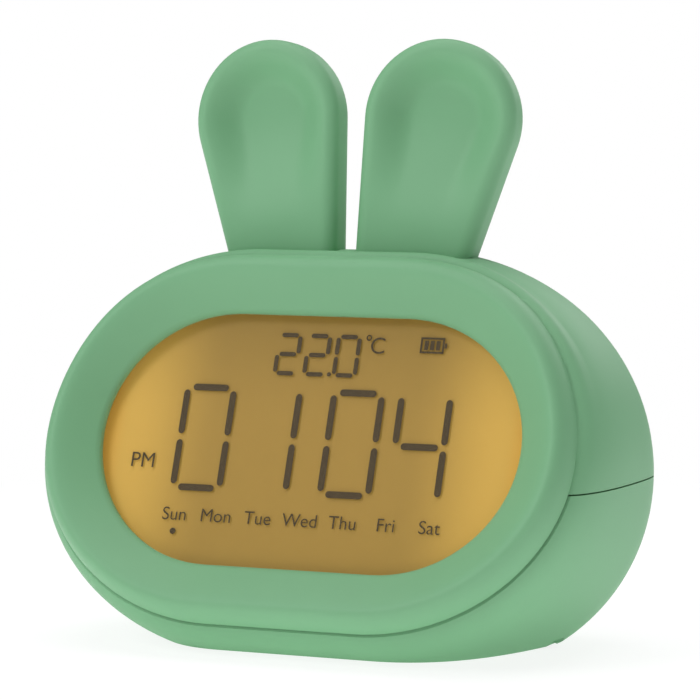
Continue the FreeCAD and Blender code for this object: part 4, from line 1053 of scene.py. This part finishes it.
class CLOCK_OT_screws(bpy.types.Operator):
    """Put the small screws in the carrier frame, the boards and the cell's strap"""

    bl_idname = "clock.screws"
    bl_label = "Small screws"

    def execute(self, context):
        sizes, ring = context.scene.clock_screws, context.scene.clock_ring
        steel = plated_steel("screw_steel", ink(190, 190, 194))
        behind = FACE_PLACE @ Matrix.Rotation(pi, 4, "X")
        # the carrier's screws lie half way between the ring's edges, the main board's at its corners
        middle = -ring.seam_drop / 2
        width = (ring.lip_half_width + ring.seam_half_width) / 2
        height = (ring.lip_half_height + ring.seam_half_height) / 2
        straight = (ring.lip_straight + ring.seam_straight) / 2
        frame_u, frame_level = 26.0 * MM, 10.0 * MM
        board_u, board_v, board_level = 28.0 * MM, 15.0 * MM, 15.6 * MM
        rise = height * (1 - ((frame_u - straight) / (width - straight)) ** 2) ** 0.5
        places = [(side * width, middle) for side in (-1, 1)]
        places += [(side * frame_u, middle + up * rise) for side in (-1, 1) for up in (-1, 1)]
        screws("frame_screws", [FACE_PLACE @ Vector((u, v, -frame_level)) for u, v in places],
               behind, sizes, steel)
        screws("board_screws",
               [FACE_PLACE @ Vector((side * board_u, up * board_v, -board_level))
                for side in (-1, 1) for up in (-1, 1)], behind, sizes, steel)
        low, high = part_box("button_board")
        pitch = 16.0 * MM
        screws("button_board_screws",
               [((low[0] + high[0]) / 2 + step * pitch, low[1], (low[2] + high[2]) / 2)
                for step in (-2, -1, 1, 2)], Matrix.Rotation(pi / 2, 4, "X"), sizes, steel)
        upright = Matrix.Identity(4)
        low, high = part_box("battery_strap")
        foot, foot_top = 4.0 * MM, 12.8 * MM
        screws("strap_screws", [((low[0] + high[0]) / 2, y, foot_top)
                                for y in (low[1] + foot, high[1] - foot)], upright, sizes, steel)
        low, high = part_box("socket_board")
        inset, depth = 3.0 * MM, 2.9 * MM
        seats = [(x, low[1] + depth, high[2]) for x in (low[0] + inset, high[0] - inset)]
        screws("socket_board_screws", seats, upright, sizes, steel)
        return {"FINISHED"}


class CLOCK_OT_stage(bpy.types.Operator):
    """Set the floor, the backdrop, the lamps and the camera"""

    bl_idname = "clock.stage"
    bl_label = "Stage"

    def execute(self, context):
        stage = context.scene.clock_stage
        floor(stage.table)
        sky(stage.sky)
        for name, (place, size) in LAMPS.items():
            lamp(name, place, size, getattr(stage, name))
        camera(stage)
        context.scene.view_settings.view_transform = "Standard"
        return {"FINISHED"}


def mixed(tree, share, first, second, output):
    """Show a mix of two shaders on an output."""
    mix = node(tree, "ShaderNodeMixShader", Fac=share)
    for socket, shader in zip(list(mix.inputs)[1:], (first, second)):
        fill(tree, socket, shader)
    tree.links.new(mix.outputs["Shader"], output.inputs["Surface"])


def floor(glow):
    """A wide lit table top that the camera sees as nearly white, with the clock's shadow on it."""
    reach = 6.0
    mesh = bpy.data.meshes.new("floor")
    corners = [(-reach, -reach, 0), (reach, -reach, 0), (reach, reach, 0), (-reach, reach, 0)]
    mesh.from_pydata(corners, [], [(0, 1, 2, 3)])
    piece = placed("floor", mesh)
    material, tree, shader = finish_of("pale_floor", (0.9, 0.9, 0.9, 1.0), 0.9, shine=0.0)
    shader.inputs["Emission Color"].default_value = WHITE
    shader.inputs["Emission Strength"].default_value = glow
    white = node(tree, "ShaderNodeEmission", Color=WHITE, Strength=1.0)
    away = tree.nodes.new("ShaderNodeVectorMath")
    away.operation = "LENGTH"
    fill(tree, away.inputs[0], place_of(tree))
    whiteness = node(tree, "ShaderNodeMapRange", Value=away.outputs["Value"],
                     From_Min=SHADOW_REACH, From_Max=2.5 * SHADOW_REACH,
                     To_Min=SHADOW_WHITENESS, To_Max=1.0)
    seen = tree.nodes.new("ShaderNodeLightPath").outputs["Is Camera Ray"]
    mixed(tree, counted(tree, "MULTIPLY", seen, whiteness.outputs["Result"]), shader.outputs["BSDF"],
          white.outputs["Emission"], tree.nodes["Material Output"])
    mesh.materials.append(material)


def sky(strength):
    """Even light, which the camera sees as white."""
    world = bpy.data.worlds.new("sky")
    world.use_nodes = True
    tree = world.node_tree
    around = tree.nodes["Background"]
    around.inputs["Color"].default_value = WHITE
    around.inputs["Strength"].default_value = strength
    seen_white = node(tree, "ShaderNodeBackground", Color=WHITE, Strength=1.0)
    seen = tree.nodes.new("ShaderNodeLightPath").outputs["Is Camera Ray"]
    mixed(tree, seen, around.outputs["Background"], seen_white.outputs["Background"],
          tree.nodes["World Output"])
    bpy.context.scene.world = world


def lamp(name, place, size, power):
    """A square area lamp that points at the middle of the clock."""
    light = bpy.data.lights.new(name, "AREA")
    light.size, light.energy = size, power
    piece = placed(name, light)
    piece.location = place
    aim = (CAD_BOX[0] + CAD_BOX[1]) / 2 - Vector(place)
    piece.rotation_mode = "QUATERNION"
    piece.rotation_quaternion = aim.to_track_quat("-Z", "Y")


def camera(stage):
    """The photograph's point of view."""
    a, e = stage.azimuth, stage.elevation
    back = Vector((sin(a) * cos(e), -cos(a) * cos(e), sin(e)))
    right = Vector((cos(a), sin(a), 0.0))
    up = right.cross(-back)
    data = bpy.data.cameras.new("camera")
    data.lens, data.sensor_width = stage.lens, 36.0
    data.clip_start, data.clip_end = 0.05, 50.0
    piece = placed("camera", data)
    piece.location = VIEW_CENTRE + back * stage.distance
    target = VIEW_CENTRE + right * VIEW_RIGHT + up * VIEW_UP
    piece.rotation_mode = "QUATERNION"
    piece.rotation_quaternion = (target - piece.location).to_track_quat("-Z", "Y")
    bpy.context.scene.camera = piece


class CLOCK_PT_panel(bpy.types.Panel):
    """Lists the steps that dress the clock"""

    bl_label = "Eared alarm clock"
    bl_space_type = "VIEW_3D"
    bl_region_type = "UI"
    bl_category = "Clock"

    def draw(self, context):
        for group in GROUPS:
            box = self.layout.box()
            for name in GROUPS[group].__annotations__:
                box.prop(getattr(context.scene, group), name)
        for step in STEPS:
            self.layout.operator(step.bl_idname)


GROUPS = {"clock_shell": ClockShell, "clock_ring": ClockRing, "clock_ears": ClockEars,
          "clock_display": ClockDisplay, "clock_figures": ClockFigures, "clock_screws": ClockScrews,
          "clock_stage": ClockStage}
STEPS = (CLOCK_OT_shells, CLOCK_OT_ears, CLOCK_OT_display, CLOCK_OT_figures, CLOCK_OT_signs,
         CLOCK_OT_words, CLOCK_OT_inside, CLOCK_OT_screws, CLOCK_OT_stage)


def register():
    for kind in (*GROUPS.values(), *STEPS, CLOCK_PT_panel):
        bpy.utils.register_class(kind)
    for name, kind in GROUPS.items():
        setattr(bpy.types.Scene, name, bpy.props.PointerProperty(type=kind))


def unregister():
    for name in GROUPS:
        delattr(bpy.types.Scene, name)
    for kind in reversed((*GROUPS.values(), *STEPS, CLOCK_PT_panel)):
        bpy.utils.unregister_class(kind)


def main():
    register()
    bpy.ops.clock.shells()
    bpy.ops.clock.ears()
    bpy.ops.clock.display()
    bpy.ops.clock.figures()
    bpy.ops.clock.signs()
    bpy.ops.clock.words()
    bpy.ops.clock.inside()
    bpy.ops.clock.screws()
    bpy.ops.clock.stage()


if __name__ == "__main__":
    main()
